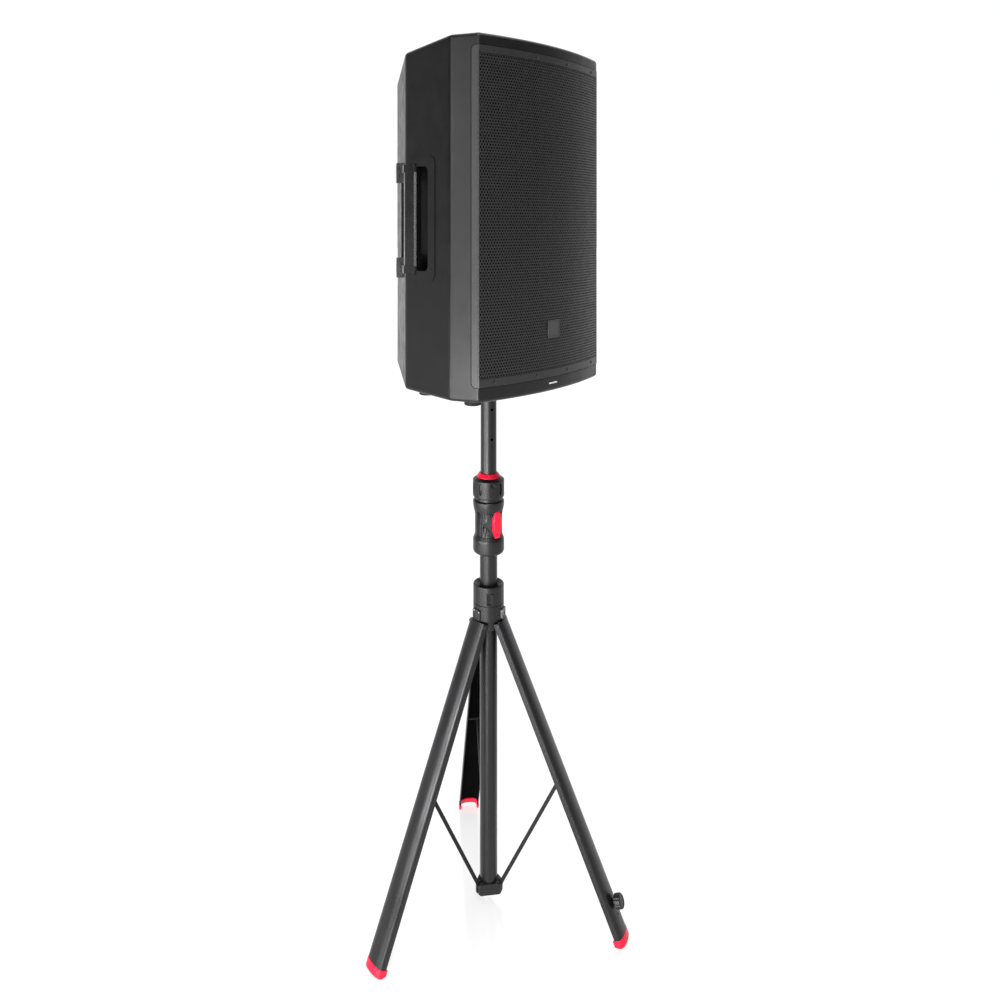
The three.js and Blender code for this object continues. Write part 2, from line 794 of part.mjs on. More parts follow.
function collarTop() {
  const c = collar;
  const body = turned([
    [c.bore, c.seam + GAP], [c.radius, c.seam + GAP], [c.radius, c.top - 2], [c.radius - 1.5, c.top],
    [31, c.top], [23, c.top - 6], [c.bore, c.top - 9], [c.bore, c.seam + GAP],
  ], 28);
  return cut(body, [latchBlock(0.4)]);
}

function collarBottom() {
  const c = collar;
  const core = turned([
    [c.bore, c.bottom], [c.knuckle - 1.5, c.bottom], [c.knuckle, c.bottom + 3], [c.knuckle, c.bottom + 17],
    [c.radius, c.bottom + 20.5], [c.radius, c.seam], [c.bore, c.seam], [c.bore, c.bottom],
  ], 28);
  const lobes = leg.azimuths.map((azimuth) => {
    return block(20.5, 34.2, -13.5, 13.5, c.bottom, c.bottom + 17.5).rotate([0, 0, azimuth]);
  });
  return cut(union([core, ...lobes]), [
    ...leg.azimuths.map((azimuth) => placed(pinBar(3.4, 40), legFrame(azimuth))),
    cylinder(c.bore, c.bottom - 5, c.seam + 5, 28),
  ]);
}

// ---------------------------------------------------------------- stand: legs
function legFrame(azimuth) {
  const a = azimuth * DEG;
  const tilt = leg.tilt * DEG;
  const outward = new THREE.Vector3(Math.cos(a), Math.sin(a), 0);
  const tangent = new THREE.Vector3(-Math.sin(a), Math.cos(a), 0);
  const normal = outward.clone().multiplyScalar(Math.cos(tilt)).addScaledVector(UP, Math.sin(tilt));
  const down = outward.clone().multiplyScalar(Math.sin(tilt)).addScaledVector(UP, -Math.cos(tilt));
  const hinge = outward.clone().multiplyScalar(leg.hingeRadius).addScaledVector(UP, leg.hingeHeight);
  return new THREE.Matrix4().makeBasis(tangent, normal, down).setPosition(hinge);
}

// A round bar across a leg at its hinge. This and the leg's other pieces are drawn in the leg's frame.
function pinBar(radius, half) {
  return cylinder(radius, -half, half, 12).rotate([0, 90, 0]);
}

// The crowned outer side of a leg's section, from one flange tip over the face to the other.
function legSide(inset, flange) {
  const w = leg.halfWidth - inset;
  const o = leg.outer - inset;
  const bend = (value) => Math.sign(value) * Math.abs(value) ** leg.crown;
  const crown = Array.from({ length: 13 }, (_, i) => {
    const a = (180 - 15 * i) * DEG;
    return [w * bend(Math.cos(a)), o * bend(Math.sin(a))];
  });
  return [[-w, -flange], ...crown, [w, -flange]];
}

function channelSection(inset, wall, flange = leg.flange) {
  return [...legSide(inset, flange), ...legSide(inset + wall, flange).reverse()];
}

function legChannel() {
  return cut(prism(channelSection(0, leg.wall), -leg.head, leg.length), [pinBar(3.4, 40)]);
}

// A cap following the leg's open section, its two flange ends resting flat on the floor.
function footCap(azimuth) {
  const body = prism(channelSection(-0.8, leg.footWall, 12), leg.length + GAP, leg.footEnd);
  const floor = placed(block(-500, 500, -500, 500, -100, 0), legFrame(azimuth).invert());
  return cut(body, [floor]);
}

function levellingChannel() {
  return prism(channelSection(leg.wall + 0.5, leg.wall), leg.length - 190, leg.length);
}

function levellingKnob() {
  const low = leg.outer + 0.6;
  const flutes = Array.from({ length: 8 }, (_, i) =>
    move(cylinder(3.6, 14, 40, 8), 16.4, 0, 0).rotate([0, 0, 45 * i]),
  );
  const body = turned([
    [0, low], [6, low], [6, 15], [13, 15.8], [14, 17.5], [14, 27], [12.5, 29.5], [0, 29.5],
  ]);
  return cut(body, flutes);
}

// ---------------------------------------------------------------- stand: braces
// Where a brace meets its leg, as [radius, height].
function braceTop() {
  const tilt = leg.tilt * DEG;
  const s = brace.legStation;
  const n = -brace.legInset;
  return [
    leg.hingeRadius + s * Math.sin(tilt) + n * Math.cos(tilt),
    leg.hingeHeight - s * Math.cos(tilt) + n * Math.sin(tilt),
  ];
}

// A flat bar with a round eye and a cross pin at each end, drawn upright from its lower pin.
function legBrace() {
  const [topRadius, topHeight] = braceTop();
  const reach = Math.hypot(topRadius - hub.pivotRadius, topHeight - hub.pivotHeight);
  const w = brace.halfWidth;
  const half = brace.thickness / 2;
  const across = (radius, out, z) => move(cylinder(radius, -out, out, 10).rotate([90, 0, 0]), 0, 0, z);
  const bar = block(-w, w, -half, half, 0, reach);
  const eyes = [across(w, half, 0), across(w, half, reach)];
  const pins = [across(brace.pinRadius, 5.8, 0), across(brace.pinRadius, 20, reach)];
  return union([bar, ...eyes, ...pins]);
}

// ---------------------------------------------------------------- assembly
const finishes = {
  cabinet: ["#26262a", 0.1, 0.75],
  steel: ["#1b1b1d", 0.6, 0.5],
  paint: ["#3a3a3e", 0.3, 0.4],
  plastic: ["#202022", 0.0, 0.6],
  red: ["#d8203c", 0.0, 0.45],
  rubber: ["#151515", 0.0, 0.9],
  foam: ["#101010", 0.0, 1.0],
  alloy: ["#8a8c90", 0.8, 0.4],
  board: ["#1d5a35", 0.1, 0.6],
  light: ["#d0d4d8", 0.6, 0.3],
};

function namedMesh(name, body, finish) {
  const { vertProperties, triVerts, numProp } = body.getMesh();
  const geometry = new THREE.BufferGeometry();
  geometry.setAttribute("position", new THREE.BufferAttribute(new Float32Array(vertProperties), numProp));
  geometry.setIndex(new THREE.BufferAttribute(new Uint32Array(triVerts), 1));
  geometry.computeVertexNormals();
  const [color, metalness, roughness] = finishes[finish];
  const material = new THREE.MeshStandardMaterial({ color, metalness, roughness });
  material.name = name;
  const mesh = new THREE.Mesh(geometry, material);
  mesh.name = name;
  return mesh;
}

// One leg with its hinge pin and foot cap, in a group standing in the leg's frame.
function legGroup(azimuth, number) {
  const group = new THREE.Group();
  group.name = "leg_assembly_" + number;
  group.applyMatrix4(legFrame(azimuth));
  group.add(
    namedMesh("leg_" + number, legChannel(), "paint"),
    namedMesh("leg_pin_" + number, pinBar(3, leg.halfWidth + 1.5), "alloy"),
    namedMesh("foot_cap_" + number, footCap(azimuth), "red"),
  );
  return group;
}

// The levelling knob stands on the face of its leg.
function addLeveller(group) {
  const knob = namedMesh("levelling_knob", levellingKnob(), "plastic");
  knob.position.set(0, 0, leg.knobStation);
  knob.rotation.set(-Math.PI / 2, 0, 0);
  group.add(namedMesh("levelling_channel", levellingChannel(), "paint"), knob);
}

// A brace leaning out from its lower pivot on the hub.
function braceGroup(azimuth, number) {
  const [topRadius, topHeight] = braceTop();
  const lean = Math.atan2(topRadius - hub.pivotRadius, topHeight - hub.pivotHeight);
  const bar = namedMesh("brace_" + number, legBrace(), "steel");
  bar.position.set(hub.pivotRadius, 0, hub.pivotHeight);
  bar.rotation.set(0, lean, 0);
  const group = new THREE.Group();
  group.name = "brace_assembly_" + number;
  group.rotation.set(0, 0, azimuth * DEG);
  group.add(bar);
  return group;
}

function standGroup() {
  const legs = leg.azimuths.map((azimuth, i) => legGroup(azimuth, i + 1));
  addLeveller(legs[2]);
  const group = new THREE.Group();
  group.name = "stand_assembly";
  group.add(
    namedMesh("column_tube", columnTube(), "paint"),
    namedMesh("base_hub", baseHub(), "plastic"),
    namedMesh("grip_body", gripBody(), "plastic"),
    namedMesh("grip_trigger", gripTrigger(), "red"),
    namedMesh("clutch_collet", clutchCollet(), "plastic"),
    namedMesh("clutch_collar", clutchCollar(), "plastic"),
    namedMesh("clutch_ring", clutchRing(), "red"),
    namedMesh("mast_tube", mastTube(), "paint"),
    namedMesh("mast_piston", mastPiston(), "plastic"),
    namedMesh("pole_cap", poleCap(), "plastic"),
    namedMesh("collar_top", collarTop(), "plastic"),
    namedMesh("collar_bottom", collarBottom(), "plastic"),
    namedMesh("collar_latch", latchBlock(0), "plastic"),
    ...legs,
    ...leg.azimuths.map((azimuth, i) => braceGroup(azimuth, i + 1)),
  );
  return group;
}

function cabinetGroup() {
  const spotted = (spots, make, finish) =>
    Object.entries(spots).map(([name, [x, z]]) => namedMesh(name, make(x, z), finish));
  const right = sideHandle();
  const group = new THREE.Group();
  group.name = "loudspeaker_assembly";
  group.position.set(0, -cabinet.poleBack, cabinet.bottom);
  group.add(
    namedMesh("pole_socket", poleSocket(), "plastic"),
    namedMesh("rear_shell", rearShell(), "cabinet"),
    namedMesh("front_bezel", frontBezel(), "cabinet"),
    namedMesh("grille", grilleSheet(), "steel"),
    namedMesh("grille_foam", grilleFoam(), "foam"),
    namedMesh("badge_plate", badgePlate(), "plastic"),
    namedMesh("status_light", statusLight(), "light"),
    namedMesh("handle_right", right, "plastic"),
    namedMesh("handle_left", mirroredX(right), "plastic"),
    namedMesh("foot_front_left", rubberFoot(-foot.offset, foot.frontBack, foot.height - 0.8), "rubber"),
    namedMesh("foot_front_right", rubberFoot(foot.offset, foot.frontBack, foot.height - 0.8), "rubber"),
    namedMesh("foot_rear_left", rubberFoot(-foot.rearOffset, foot.rearBack, foot.height + 1), "rubber"),
    namedMesh("foot_rear_right", rubberFoot(foot.rearOffset, foot.rearBack, foot.height + 1), "rubber"),
    namedMesh("woofer_basket", wooferBasket(), "steel"),
    namedMesh("woofer_magnet", wooferMagnet(), "alloy"),
    namedMesh("woofer_cone", wooferCone(), "foam"),
    namedMesh("woofer_surround", wooferSurround(), "rubber"),
    namedMesh("woofer_spider", wooferSpider(), "foam"),
    namedMesh("horn", hornGuide(), "plastic"),
    namedMesh("compression_driver", compressionDriver(), "alloy"),
    namedMesh("amp_panel", ampPanel(), "steel"),
    namedMesh("heat_sink", heatSink(), "alloy"),
    namedMesh("amp_board", ampBoard(), "board"),
    namedMesh("power_supply", powerSupply(), "board"),
    ...spotted(jackSpots, signalJack, "plastic"),
    ...spotted(knobSpots, rotaryKnob, "plastic"),
    namedMesh("mode_button", modeButton(), "plastic"),
    namedMesh("power_rocker", powerRocker(), "plastic"),
    namedMesh("power_inlet", powerInlet(), "plastic"),
  );
  return group;
}

const root = new THREE.Group();
root.name = "pa_speaker_on_stand";
root.add(standGroup(), cabinetGroup());
export default root;
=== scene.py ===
"""Looks of the PA speaker on its tripod stand. Lengths are in millimetres until a mesh is made."""
import math

import bmesh
import bpy
from mathutils import Matrix, Vector


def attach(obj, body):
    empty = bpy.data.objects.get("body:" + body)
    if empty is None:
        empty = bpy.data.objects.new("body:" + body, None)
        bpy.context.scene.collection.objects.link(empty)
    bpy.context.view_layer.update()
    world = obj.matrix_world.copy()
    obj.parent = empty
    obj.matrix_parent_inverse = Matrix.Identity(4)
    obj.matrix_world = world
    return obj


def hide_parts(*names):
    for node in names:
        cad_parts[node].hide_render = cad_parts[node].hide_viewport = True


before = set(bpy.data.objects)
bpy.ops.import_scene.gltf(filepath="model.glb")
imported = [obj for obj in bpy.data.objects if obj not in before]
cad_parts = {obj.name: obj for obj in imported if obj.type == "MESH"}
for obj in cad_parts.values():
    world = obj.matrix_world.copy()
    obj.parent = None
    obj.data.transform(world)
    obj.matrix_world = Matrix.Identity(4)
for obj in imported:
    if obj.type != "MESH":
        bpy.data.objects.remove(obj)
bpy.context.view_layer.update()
MM = 0.001
TAU = 2 * math.pi

# ---------------------------------------------------------------- driving dimensions
FLOOR = 1133.0  # underside of the cabinet
TALL = 707.0
POLE_BACK = 149.0  # column axis behind the front corners
CORNER_HALF = 197.0
BULGE = 27.0
SEAM = (219.5, 56.0)
SIDE = (205.7, 195.5)
REAR = (98.0, 338.0)
SIDE_DROP, REAR_DROP = 14.0, 49.0
SIDE_RISE, REAR_RISE = 2.0, 29.0
GRILLE_LOW, GRILLE_HIGH = 29.0, 683.0
BAFFLE = 15.3
HANDLE_LOW, HANDLE_HIGH = 240.0, 463.0
TAB_LOW, TAB_HIGH = 228.0, 470.0
POCKET_LOW, POCKET_HIGH = 247.0, 457.0
LEG_AZIMUTHS = (51.3, 171.3, 291.3)
LEG_TILT = math.radians(23.6)
HINGE = (30.0, 608.0)
LEG_HALF, LEG_OUT, LEG_LONG = 24.0, 10.5, 647.0
HUB_PIVOT = (26.6, 38.0)
LEG_BORE = 3.4  # radius
BRACE_STATION = 335.0  # down the leg from its hinge
BRACE_END, BRACE_WAIST, BRACE_NECK = 4.7, 3.9, 12.0
TRIGGER_AT = (-99, 823.75)  # azimuth and height
LATCH_AT = (-132, 666)


# ---------------------------------------------------------------- camera, light and floor
def set_camera():
    data = bpy.data.cameras.new("camera")
    data.sensor_width = 36.0
    data.lens = 30.34
    data.shift_x = 0.0381
    data.shift_y = -0.277
    data.dof.use_dof = False
    data.clip_end = 50.0
    camera = bpy.data.objects.new("camera", data)
    camera.location = (-1.3866, -1.2176, 1.4764)
    camera.rotation_euler = (math.radians(90), 0, math.radians(-46.9))
    bpy.context.collection.objects.link(camera)
    bpy.context.scene.camera = camera


def area_light(name, place, target, size, power, tint=(1, 1, 1)):
    data = bpy.data.lights.new(name, "AREA")
    data.shape = "RECTANGLE"
    data.size, data.size_y = size
    data.energy = power
    data.color = tint
    lamp = bpy.data.objects.new(name, data)
    lamp.location = place
    aim = Vector(target) - Vector(place)
    lamp.rotation_euler = aim.to_track_quat("-Z", "Y").to_euler()
    bpy.context.collection.objects.link(lamp)


def light_studio():
    """A pale room, brighter behind the stand than in front of it, with soft boxes at the left."""
    world = bpy.data.worlds.new("studio")
    world.use_nodes = True
    tree = world.node_tree
    coords = tree.nodes.new("ShaderNodeTexCoord")
    away = tree.nodes.new("ShaderNodeVectorMath")
    away.operation = "DOT_PRODUCT"
    away.inputs[1].default_value = (0.73, 0.683, 0.0)
    tree.links.new(coords.outputs["Generated"], away.inputs[0])
    shade = tree.nodes.new("ShaderNodeMapRange")
    shade.interpolation_type = "SMOOTHSTEP"
    shade.inputs["From Min"].default_value = 0.05
    shade.inputs["From Max"].default_value = 0.72
    shade.inputs["To Min"].default_value = 0.14
    shade.inputs["To Max"].default_value = 1.02
    tree.links.new(away.outputs["Value"], shade.inputs["Value"])
    background = tree.nodes["Background"]
    background.inputs["Color"].default_value = (1, 1, 1, 1)
    tree.links.new(shade.outputs["Result"], background.inputs["Strength"])
    bpy.context.scene.world = world
    bpy.context.scene.view_settings.view_transform = "Standard"
    area_light("left_low_rear", (-2.08, 0.54, 0.55), (-0.15, 0.02, 0.35), (0.9, 0.5), 24)
    area_light("left_low_front", (-2.03, -0.66, 0.55), (-0.15, 0.02, 0.35), (0.9, 0.5), 46)
    area_light("left_tall", (-2.1, 0.1, 1.75), (-0.2, -0.1, 1.5), (0.35, 1.1), 9)
    area_light("front_tall", (-2.0, -1.1, 1.75), (-0.2, -0.15, 1.5), (0.3, 1.1), 14)
    area_light("key_high", (-1.8, -1.6, 3.7), (0, 0, 0.8), (1.2, 1.2), 58)
    area_light("overhead", (0.2, -0.4, 3.8), (0, 0, 1.0), (2.4, 2.4), 45)


def lay_floor():
    size, level = 40.0, -0.0005
    corners = [(-size, -size, level), (size, -size, level), (size, size, level), (-size, size, level)]
    mesh = bpy.data.meshes.new("floor")
    mesh.from_pydata(corners, [], [(0, 1, 2, 3)])
    floor = bpy.data.objects.new("floor", mesh)
    bpy.context.collection.objects.link(floor)
    material = bpy.data.materials.new("floor_white")
    material.use_nodes = True
    shader = material.node_tree.nodes["Principled BSDF"]
    shader.inputs["Base Color"].default_value = (0.3, 0.3, 0.3, 1)
    shader.inputs["Roughness"].default_value = 0.1
    shader.inputs["IOR"].default_value = 2.2
    shader.inputs["Emission Color"].default_value = (1, 1, 1, 1)
    shader.inputs["Emission Strength"].default_value = 0.67
    floor.data.materials.append(material)


# ---------------------------------------------------------------- materials
class Recipe:
    """One node material, built up a layer at a time over object coordinates."""

    def __init__(self, name, colour, roughness, metallic=0.0, specular=0.5):
        self.material = bpy.data.materials.new(name)
        self.material.use_nodes = True
        self.tree = self.material.node_tree
        self.shader = self.tree.nodes["Principled BSDF"]
        self.shader.inputs["Base Color"].default_value = (*colour, 1)
        self.shader.inputs["Roughness"].default_value = roughness
        self.shader.inputs["Metallic"].default_value = metallic
        self.shader.inputs["Specular IOR Level"].default_value = specular
        self.colour, self.roughness = colour, roughness
        self.coords = self.tree.nodes.new("ShaderNodeTexCoord")
        self.height = None

    def link(self, start, end):
        self.tree.links.new(start, end)

    def noise(self, scale, detail=3.0, stretch=(1, 1, 1)):
        mapping = self.tree.nodes.new("ShaderNodeMapping")
        mapping.inputs["Scale"].default_value = stretch
        self.link(self.coords.outputs["Object"], mapping.inputs["Vector"])
        texture = self.tree.nodes.new("ShaderNodeTexNoise")
        texture.inputs["Scale"].default_value = scale
        texture.inputs["Detail"].default_value = detail
        self.link(mapping.outputs["Vector"], texture.inputs["Vector"])
        return texture.outputs["Fac"]

    def ramp(self, source, low, high, start=0.3, end=0.7):
        node = self.tree.nodes.new("ShaderNodeMapRange")
        node.inputs["From Min"].default_value = start
        node.inputs["From Max"].default_value = end
        node.inputs["To Min"].default_value = low
        node.inputs["To Max"].default_value = high
        self.link(source, node.inputs["Value"])
        return node.outputs["Result"]

    def tint(self, source, other, start=0.35, end=0.65):
        """Mixes the base colour towards another where the source is high."""
        mix = self.tree.nodes.new("ShaderNodeMix")
        mix.data_type = "RGBA"
        mix.inputs["A"].default_value = (*self.colour, 1)
        mix.inputs["B"].default_value = (*other, 1)
        self.link(self.ramp(source, 0, 1, start, end), mix.inputs["Factor"])
        self.link(mix.outputs["Result"], self.shader.inputs["Base Color"])
        return self

    def gloss(self, source, low, high):
        self.link(self.ramp(source, low, high), self.shader.inputs["Roughness"])
        return self

    def bump(self, source, depth, strength=1.0):
        node = self.tree.nodes.new("ShaderNodeBump")
        node.inputs["Distance"].default_value = depth * MM
        node.inputs["Strength"].default_value = strength
        self.link(source, node.inputs["Height"])
        if self.height:
            self.link(self.height, node.inputs["Normal"])
        self.height = node.outputs["Normal"]
        self.link(self.height, self.shader.inputs["Normal"])
        return self


def moulded(name, colour, roughness, specular=0.4, grain=900.0, depth=0.1):
    """Spark-eroded moulded plastic: a fine pebbled grain with slight shine changes."""
    recipe = Recipe(name, colour, roughness, 0.0, specular)
    lighter = tuple(c * 1.15 + 0.0003 for c in colour)
    recipe.tint(recipe.noise(14.0), lighter)
    recipe.gloss(recipe.noise(35.0), roughness - 0.06, roughness + 0.07)
    recipe.bump(recipe.noise(grain, 2.0), depth)
    return recipe.material


def powder_coat(name, colour, roughness):
    """Powder-coated steel: orange peel over a faint speckle."""
    recipe = Recipe(name, colour, roughness, 0.15, 0.4)
    recipe.tint(recipe.noise(600.0, 1.0), tuple(c * 1.7 + 0.002 for c in colour), 0.5, 0.75)
    recipe.gloss(recipe.noise(60.0), roughness - 0.05, roughness + 0.08)
    recipe.bump(recipe.noise(420.0, 1.0), 0.06)
    return recipe.material


def satin_paint(name, colour, roughness):
    """Satin paint on drawn tube: long faint streaks and small handling marks."""
    recipe = Recipe(name, colour, roughness, 0.35, 0.5)
    recipe.tint(recipe.noise(40.0, 4.0, (1, 1, 0.06)), tuple(c * 1.3 for c in colour))
    recipe.gloss(recipe.noise(25.0, 5.0, (1, 1, 0.3)), roughness - 0.07, roughness + 0.1)
    recipe.bump(recipe.noise(700.0, 1.0), 0.03)
    return recipe.material


def bare_metal(name, colour, roughness, grain=(1, 1, 12)):
    recipe = Recipe(name, colour, roughness, 1.0)
    recipe.tint(recipe.noise(120.0, 4.0, grain), tuple(c * 0.75 for c in colour))
    recipe.gloss(recipe.noise(220.0, 3.0, grain), roughness - 0.08, roughness + 0.12)
    recipe.bump(recipe.noise(500.0, 2.0, grain), 0.02)
    return recipe.material


def soft_foam(name, colour):
    recipe = Recipe(name, colour, 1.0, 0.0, 0.1)
    recipe.tint(recipe.noise(500.0, 3.0), tuple(c * 2.5 for c in colour))
    recipe.bump(recipe.noise(800.0, 3.0), 0.6)
    return recipe.material


def rubbery(name, colour):
    recipe = Recipe(name, colour, 0.8, 0.0, 0.3)
    recipe.tint(recipe.noise(90.0), tuple(c * 1.6 for c in colour))
    recipe.gloss(recipe.noise(140.0), 0.7, 0.9)
    recipe.bump(recipe.noise(1100.0), 0.08)
    return recipe.material


def paper_pulp(name, colour):
    recipe = Recipe(name, colour, 0.85, 0.0, 0.25)
    recipe.tint(recipe.noise(260.0, 5.0), tuple(c * 1.8 for c in colour))
    recipe.bump(recipe.noise(450.0, 5.0), 0.15)
    return recipe.material


def circuit_green(name):
    recipe = Recipe(name, (0.02, 0.12, 0.05), 0.45)
    recipe.tint(recipe.noise(180.0, 1.0, (1, 1, 3)), (0.05, 0.2, 0.09), 0.45, 0.5)
    recipe.bump(recipe.noise(300.0), 0.05)
    return recipe.material


LOOKS = {
    "cabinet": moulded("cabinet_grain", (0.0045, 0.0045, 0.0048), 0.36, 0.24),
    "bezel": moulded("bezel_grain", (0.005, 0.005, 0.0053), 0.36, 0.32, 900.0, 0.05),
    "grille": powder_coat("grille_coat", (0.02, 0.02, 0.0205), 0.36),
    "foam": soft_foam("grille_foam_black", (0.001, 0.001, 0.001)),
    "handle": moulded("handle_gloss", (0.005, 0.005, 0.0055), 0.26, 0.45, 600.0, 0.02),
    "paint": satin_paint("tube_satin", (0.01, 0.01, 0.011), 0.33),
    "brace": powder_coat("brace_coat", (0.0025, 0.0025, 0.0025), 0.6),
    "plastic": moulded("stand_plastic_grain", (0.004, 0.004, 0.0045), 0.4, 0.4, 1100.0, 0.05),
    "red": moulded("red_gloss", (0.8, 0.006, 0.035), 0.3, 0.3, 700.0, 0.03),
    "dark_red": moulded("ring_red", (0.55, 0.006, 0.028), 0.32, 0.3, 700.0, 0.03),
    "rubber": rubbery("black_rubber", (0.006, 0.006, 0.006)),
    "alloy": bare_metal("cast_alloy", (0.4, 0.4, 0.41), 0.38),
    "steel": bare_metal("zinc_steel", (0.5, 0.5, 0.51), 0.28),
    "bracket": bare_metal("bracket_steel", (0.09, 0.09, 0.095), 0.3),
    "badge": moulded("badge_satin", (0.03, 0.03, 0.032), 0.34, 0.5, 500.0, 0.02),
    # Near-black matte look for the leg channels' insides: painted shade, much darker than the legs' own
    # paint.
    "hollow": moulded("channel_inside_painted_shade", (0.0015, 0.0015, 0.0015), 0.8, 0.03),
    "screw": bare_metal("black_screw", (0.06, 0.06, 0.065), 0.28),
    "panel": powder_coat("panel_coat", (0.012, 0.012, 0.013), 0.45),
    "cone": paper_pulp("cone_pulp", (0.012, 0.012, 0.012)),
    "iron": bare_metal("ferrite", (0.06, 0.06, 0.06), 0.6),
    "board": circuit_green("circuit_board"),
    "light": moulded("light_guide", (0.62, 0.64, 0.66), 0.25, 0.5, 400.0, 0.02),
    "print": moulded("panel_print", (0.42, 0.42, 0.43), 0.6, 0.3, 900.0, 0.02),
}


# ---------------------------------------------------------------- mesh making
def piece(name, points, faces, look, body, stands_for=(), bevel=0.0, smooth=32.0, segments=3):
    mesh = bpy.data.meshes.new(name)
    mesh.from_pydata([[c * MM for c in point] for point in points], [], faces)
    mesh.update()
    made = bpy.data.objects.new(name, mesh)
    bpy.context.collection.objects.link(made)
    make_solid_normals(made)
    finish_piece(made, look, body, stands_for, bevel, smooth, segments)
    return made


def spin(degrees, axis):
    return Matrix.Rotation(math.radians(degrees), 4, axis)


def make_solid_normals(made):
    sheet = bmesh.new()
    sheet.from_mesh(made.data)
    bmesh.ops.remove_doubles(sheet, verts=sheet.verts, dist=1e-7)
    bmesh.ops.recalc_face_normals(sheet, faces=sheet.faces)
    sheet.to_mesh(made.data)
    sheet.free()


def settle(made):
    """Replaces a piece's mesh by what its modifiers make of it."""
    graph = bpy.context.evaluated_depsgraph_get()
    graph.update()
    mesh = bpy.data.meshes.new_from_object(made.evaluated_get(graph))
    made.modifiers.clear()
    made.data = mesh


def finish_piece(made, look, body, stands_for, bevel, smooth, segments=3):
    if bevel:
        modifier = made.modifiers.new("bevel", "BEVEL")
        modifier.width = bevel * MM
        modifier.segments = segments
        modifier.limit_method = "ANGLE"
        modifier.angle_limit = math.radians(smooth)
        modifier.miter_outer = "MITER_ARC"
        settle(made)
    made.data.materials.clear()
    made.data.materials.append(LOOKS[look])
    for polygon in made.data.polygons:
        polygon.use_smooth = True
    made.data.set_sharp_from_angle(angle=math.radians(smooth))
    weighted = made.modifiers.new("normals", "WEIGHTED_NORMAL")
    weighted.keep_sharp = True
    weighted.weight = 80
    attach(made, body)
    if stands_for:
        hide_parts(*stands_for)


def turned(name, profile, look, body, stands_for=(), place=None, steps=96, bevel=0.0, smooth=32.0):
    """A lathed piece about +Z from a closed profile, or one that starts and ends on the axis."""
    closed = profile[0] == profile[-1]
    loop = profile[:-1] if closed else profile
    place = place or Matrix.Identity(4)
    points, rows = [], []
    for radius, height in loop:
        if radius < 1e-6:
            rows.append([len(points)] * steps)
            points.append(Vector((0, 0, height)))
            continue
        rows.append(list(range(len(points), len(points) + steps)))
        for i in range(steps):
            a = TAU * i / steps
            points.append(Vector((radius * math.cos(a), radius * math.sin(a), height)))
    pairs = list(zip(rows, rows[1:])) + ([(rows[-1], rows[0])] if closed else [])
    faces = []
    for low, high in pairs:
        for i in range(steps):
            j = (i + 1) % steps
            corners = [low[i], low[j], high[j], high[i]]
            kept = [c for k, c in enumerate(corners) if c not in corners[:k]]
            if len(kept) > 2:
                faces.append(kept)
    return piece(name, [place @ p for p in points], faces, look, body, stands_for, bevel, smooth)


def prism_mesh(outline, low, high, place=None):
    place = place or Matrix.Identity(4)
    count = len(outline)
    points = [place @ Vector((x, y, z)) for z in (low, high) for x, y in outline]
    faces = [list(range(count))[::-1], list(range(count, 2 * count))]
    faces += [[i, (i + 1) % count, (i + 1) % count + count, i + count] for i in range(count)]
    return points, faces


def prism(name, outline, low, high, look, body, stands_for=(), place=None, bevel=0.0, smooth=32.0):
    return piece(name, *prism_mesh(outline, low, high, place), look, body, stands_for, bevel, smooth)


def joined(meshes):
    points, faces = [], []
    for more_points, more_faces in meshes:
        start = len(points)
        points += list(more_points)
        faces += [[i + start for i in face] for face in more_faces]
    return points, faces


def combine(target, tool, operation="DIFFERENCE", self_crossing=False):
    """Cuts an object out of a piece, or joins or intersects them, and removes the object."""
    modifier = target.modifiers.new("combine", "BOOLEAN")
    modifier.object = tool
    modifier.operation = operation
    modifier.solver = "EXACT"
    modifier.use_self = self_crossing
    settle(target)
    bpy.data.objects.remove(tool)


def carve(target, cutters, operation="DIFFERENCE"):
    """Cuts closed meshes, given as points and faces in millimetres, out of a piece."""
    points, faces = joined(cutters)
    mesh = bpy.data.meshes.new("cutter")
    mesh.from_pydata([[c * MM for c in point] for point in points], [], faces)
    tool = bpy.data.objects.new("cutter", mesh)
    bpy.context.collection.objects.link(tool)
    make_solid_normals(tool)
    combine(target, tool, operation, True)


def box_outline(x0, x1, y0, y1, radius=0.0, steps=4):
    if not radius:
        return [(x0, y0), (x1, y0), (x1, y1), (x0, y1)]
    outline = []
    centres = [(x1 - radius, y0 + radius), (x1 - radius, y1 - radius),
               (x0 + radius, y1 - radius), (x0 + radius, y0 + radius)]
    for quarter, (cx, cy) in enumerate(centres):
        for i in range(steps + 1):
            a = -math.pi / 2 + (quarter + i / steps) * math.pi / 2
            outline.append((cx + radius * math.cos(a), cy + radius * math.sin(a)))
    return outline


def ring_outline(radius, steps=48, centre=(0.0, 0.0)):
    return [(centre[0] + radius * math.cos(TAU * i / steps), centre[1] + radius * math.sin(TAU * i / steps))
            for i in range(steps)]


def bands(levels, count):
    """The four-sided faces between each ring of points and the next."""
    faces = []
    for low in range(0, levels * count, count):
        for i in range(count):
            j = (i + 1) % count
            faces.append([low + i, low + j, low + count + j, low + count + i])
    return faces


def look_of(node, look):
    """Gives a CAD node a finished material."""
    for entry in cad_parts[node].material_slots:
        entry.material = LOOKS[look]


def facing(azimuth, height=0.0):
    """Local z points outwards at an azimuth, local x runs round the column, local y is up."""
    a = math.radians(azimuth)
    outward = Vector((math.cos(a), math.sin(a), 0))
    tangent = Vector((-math.sin(a), math.cos(a), 0))
    matrix = Matrix((tangent, Vector((0, 0, 1)), outward)).transposed().to_4x4()
    matrix.translation = (0, 0, height)
    return matrix


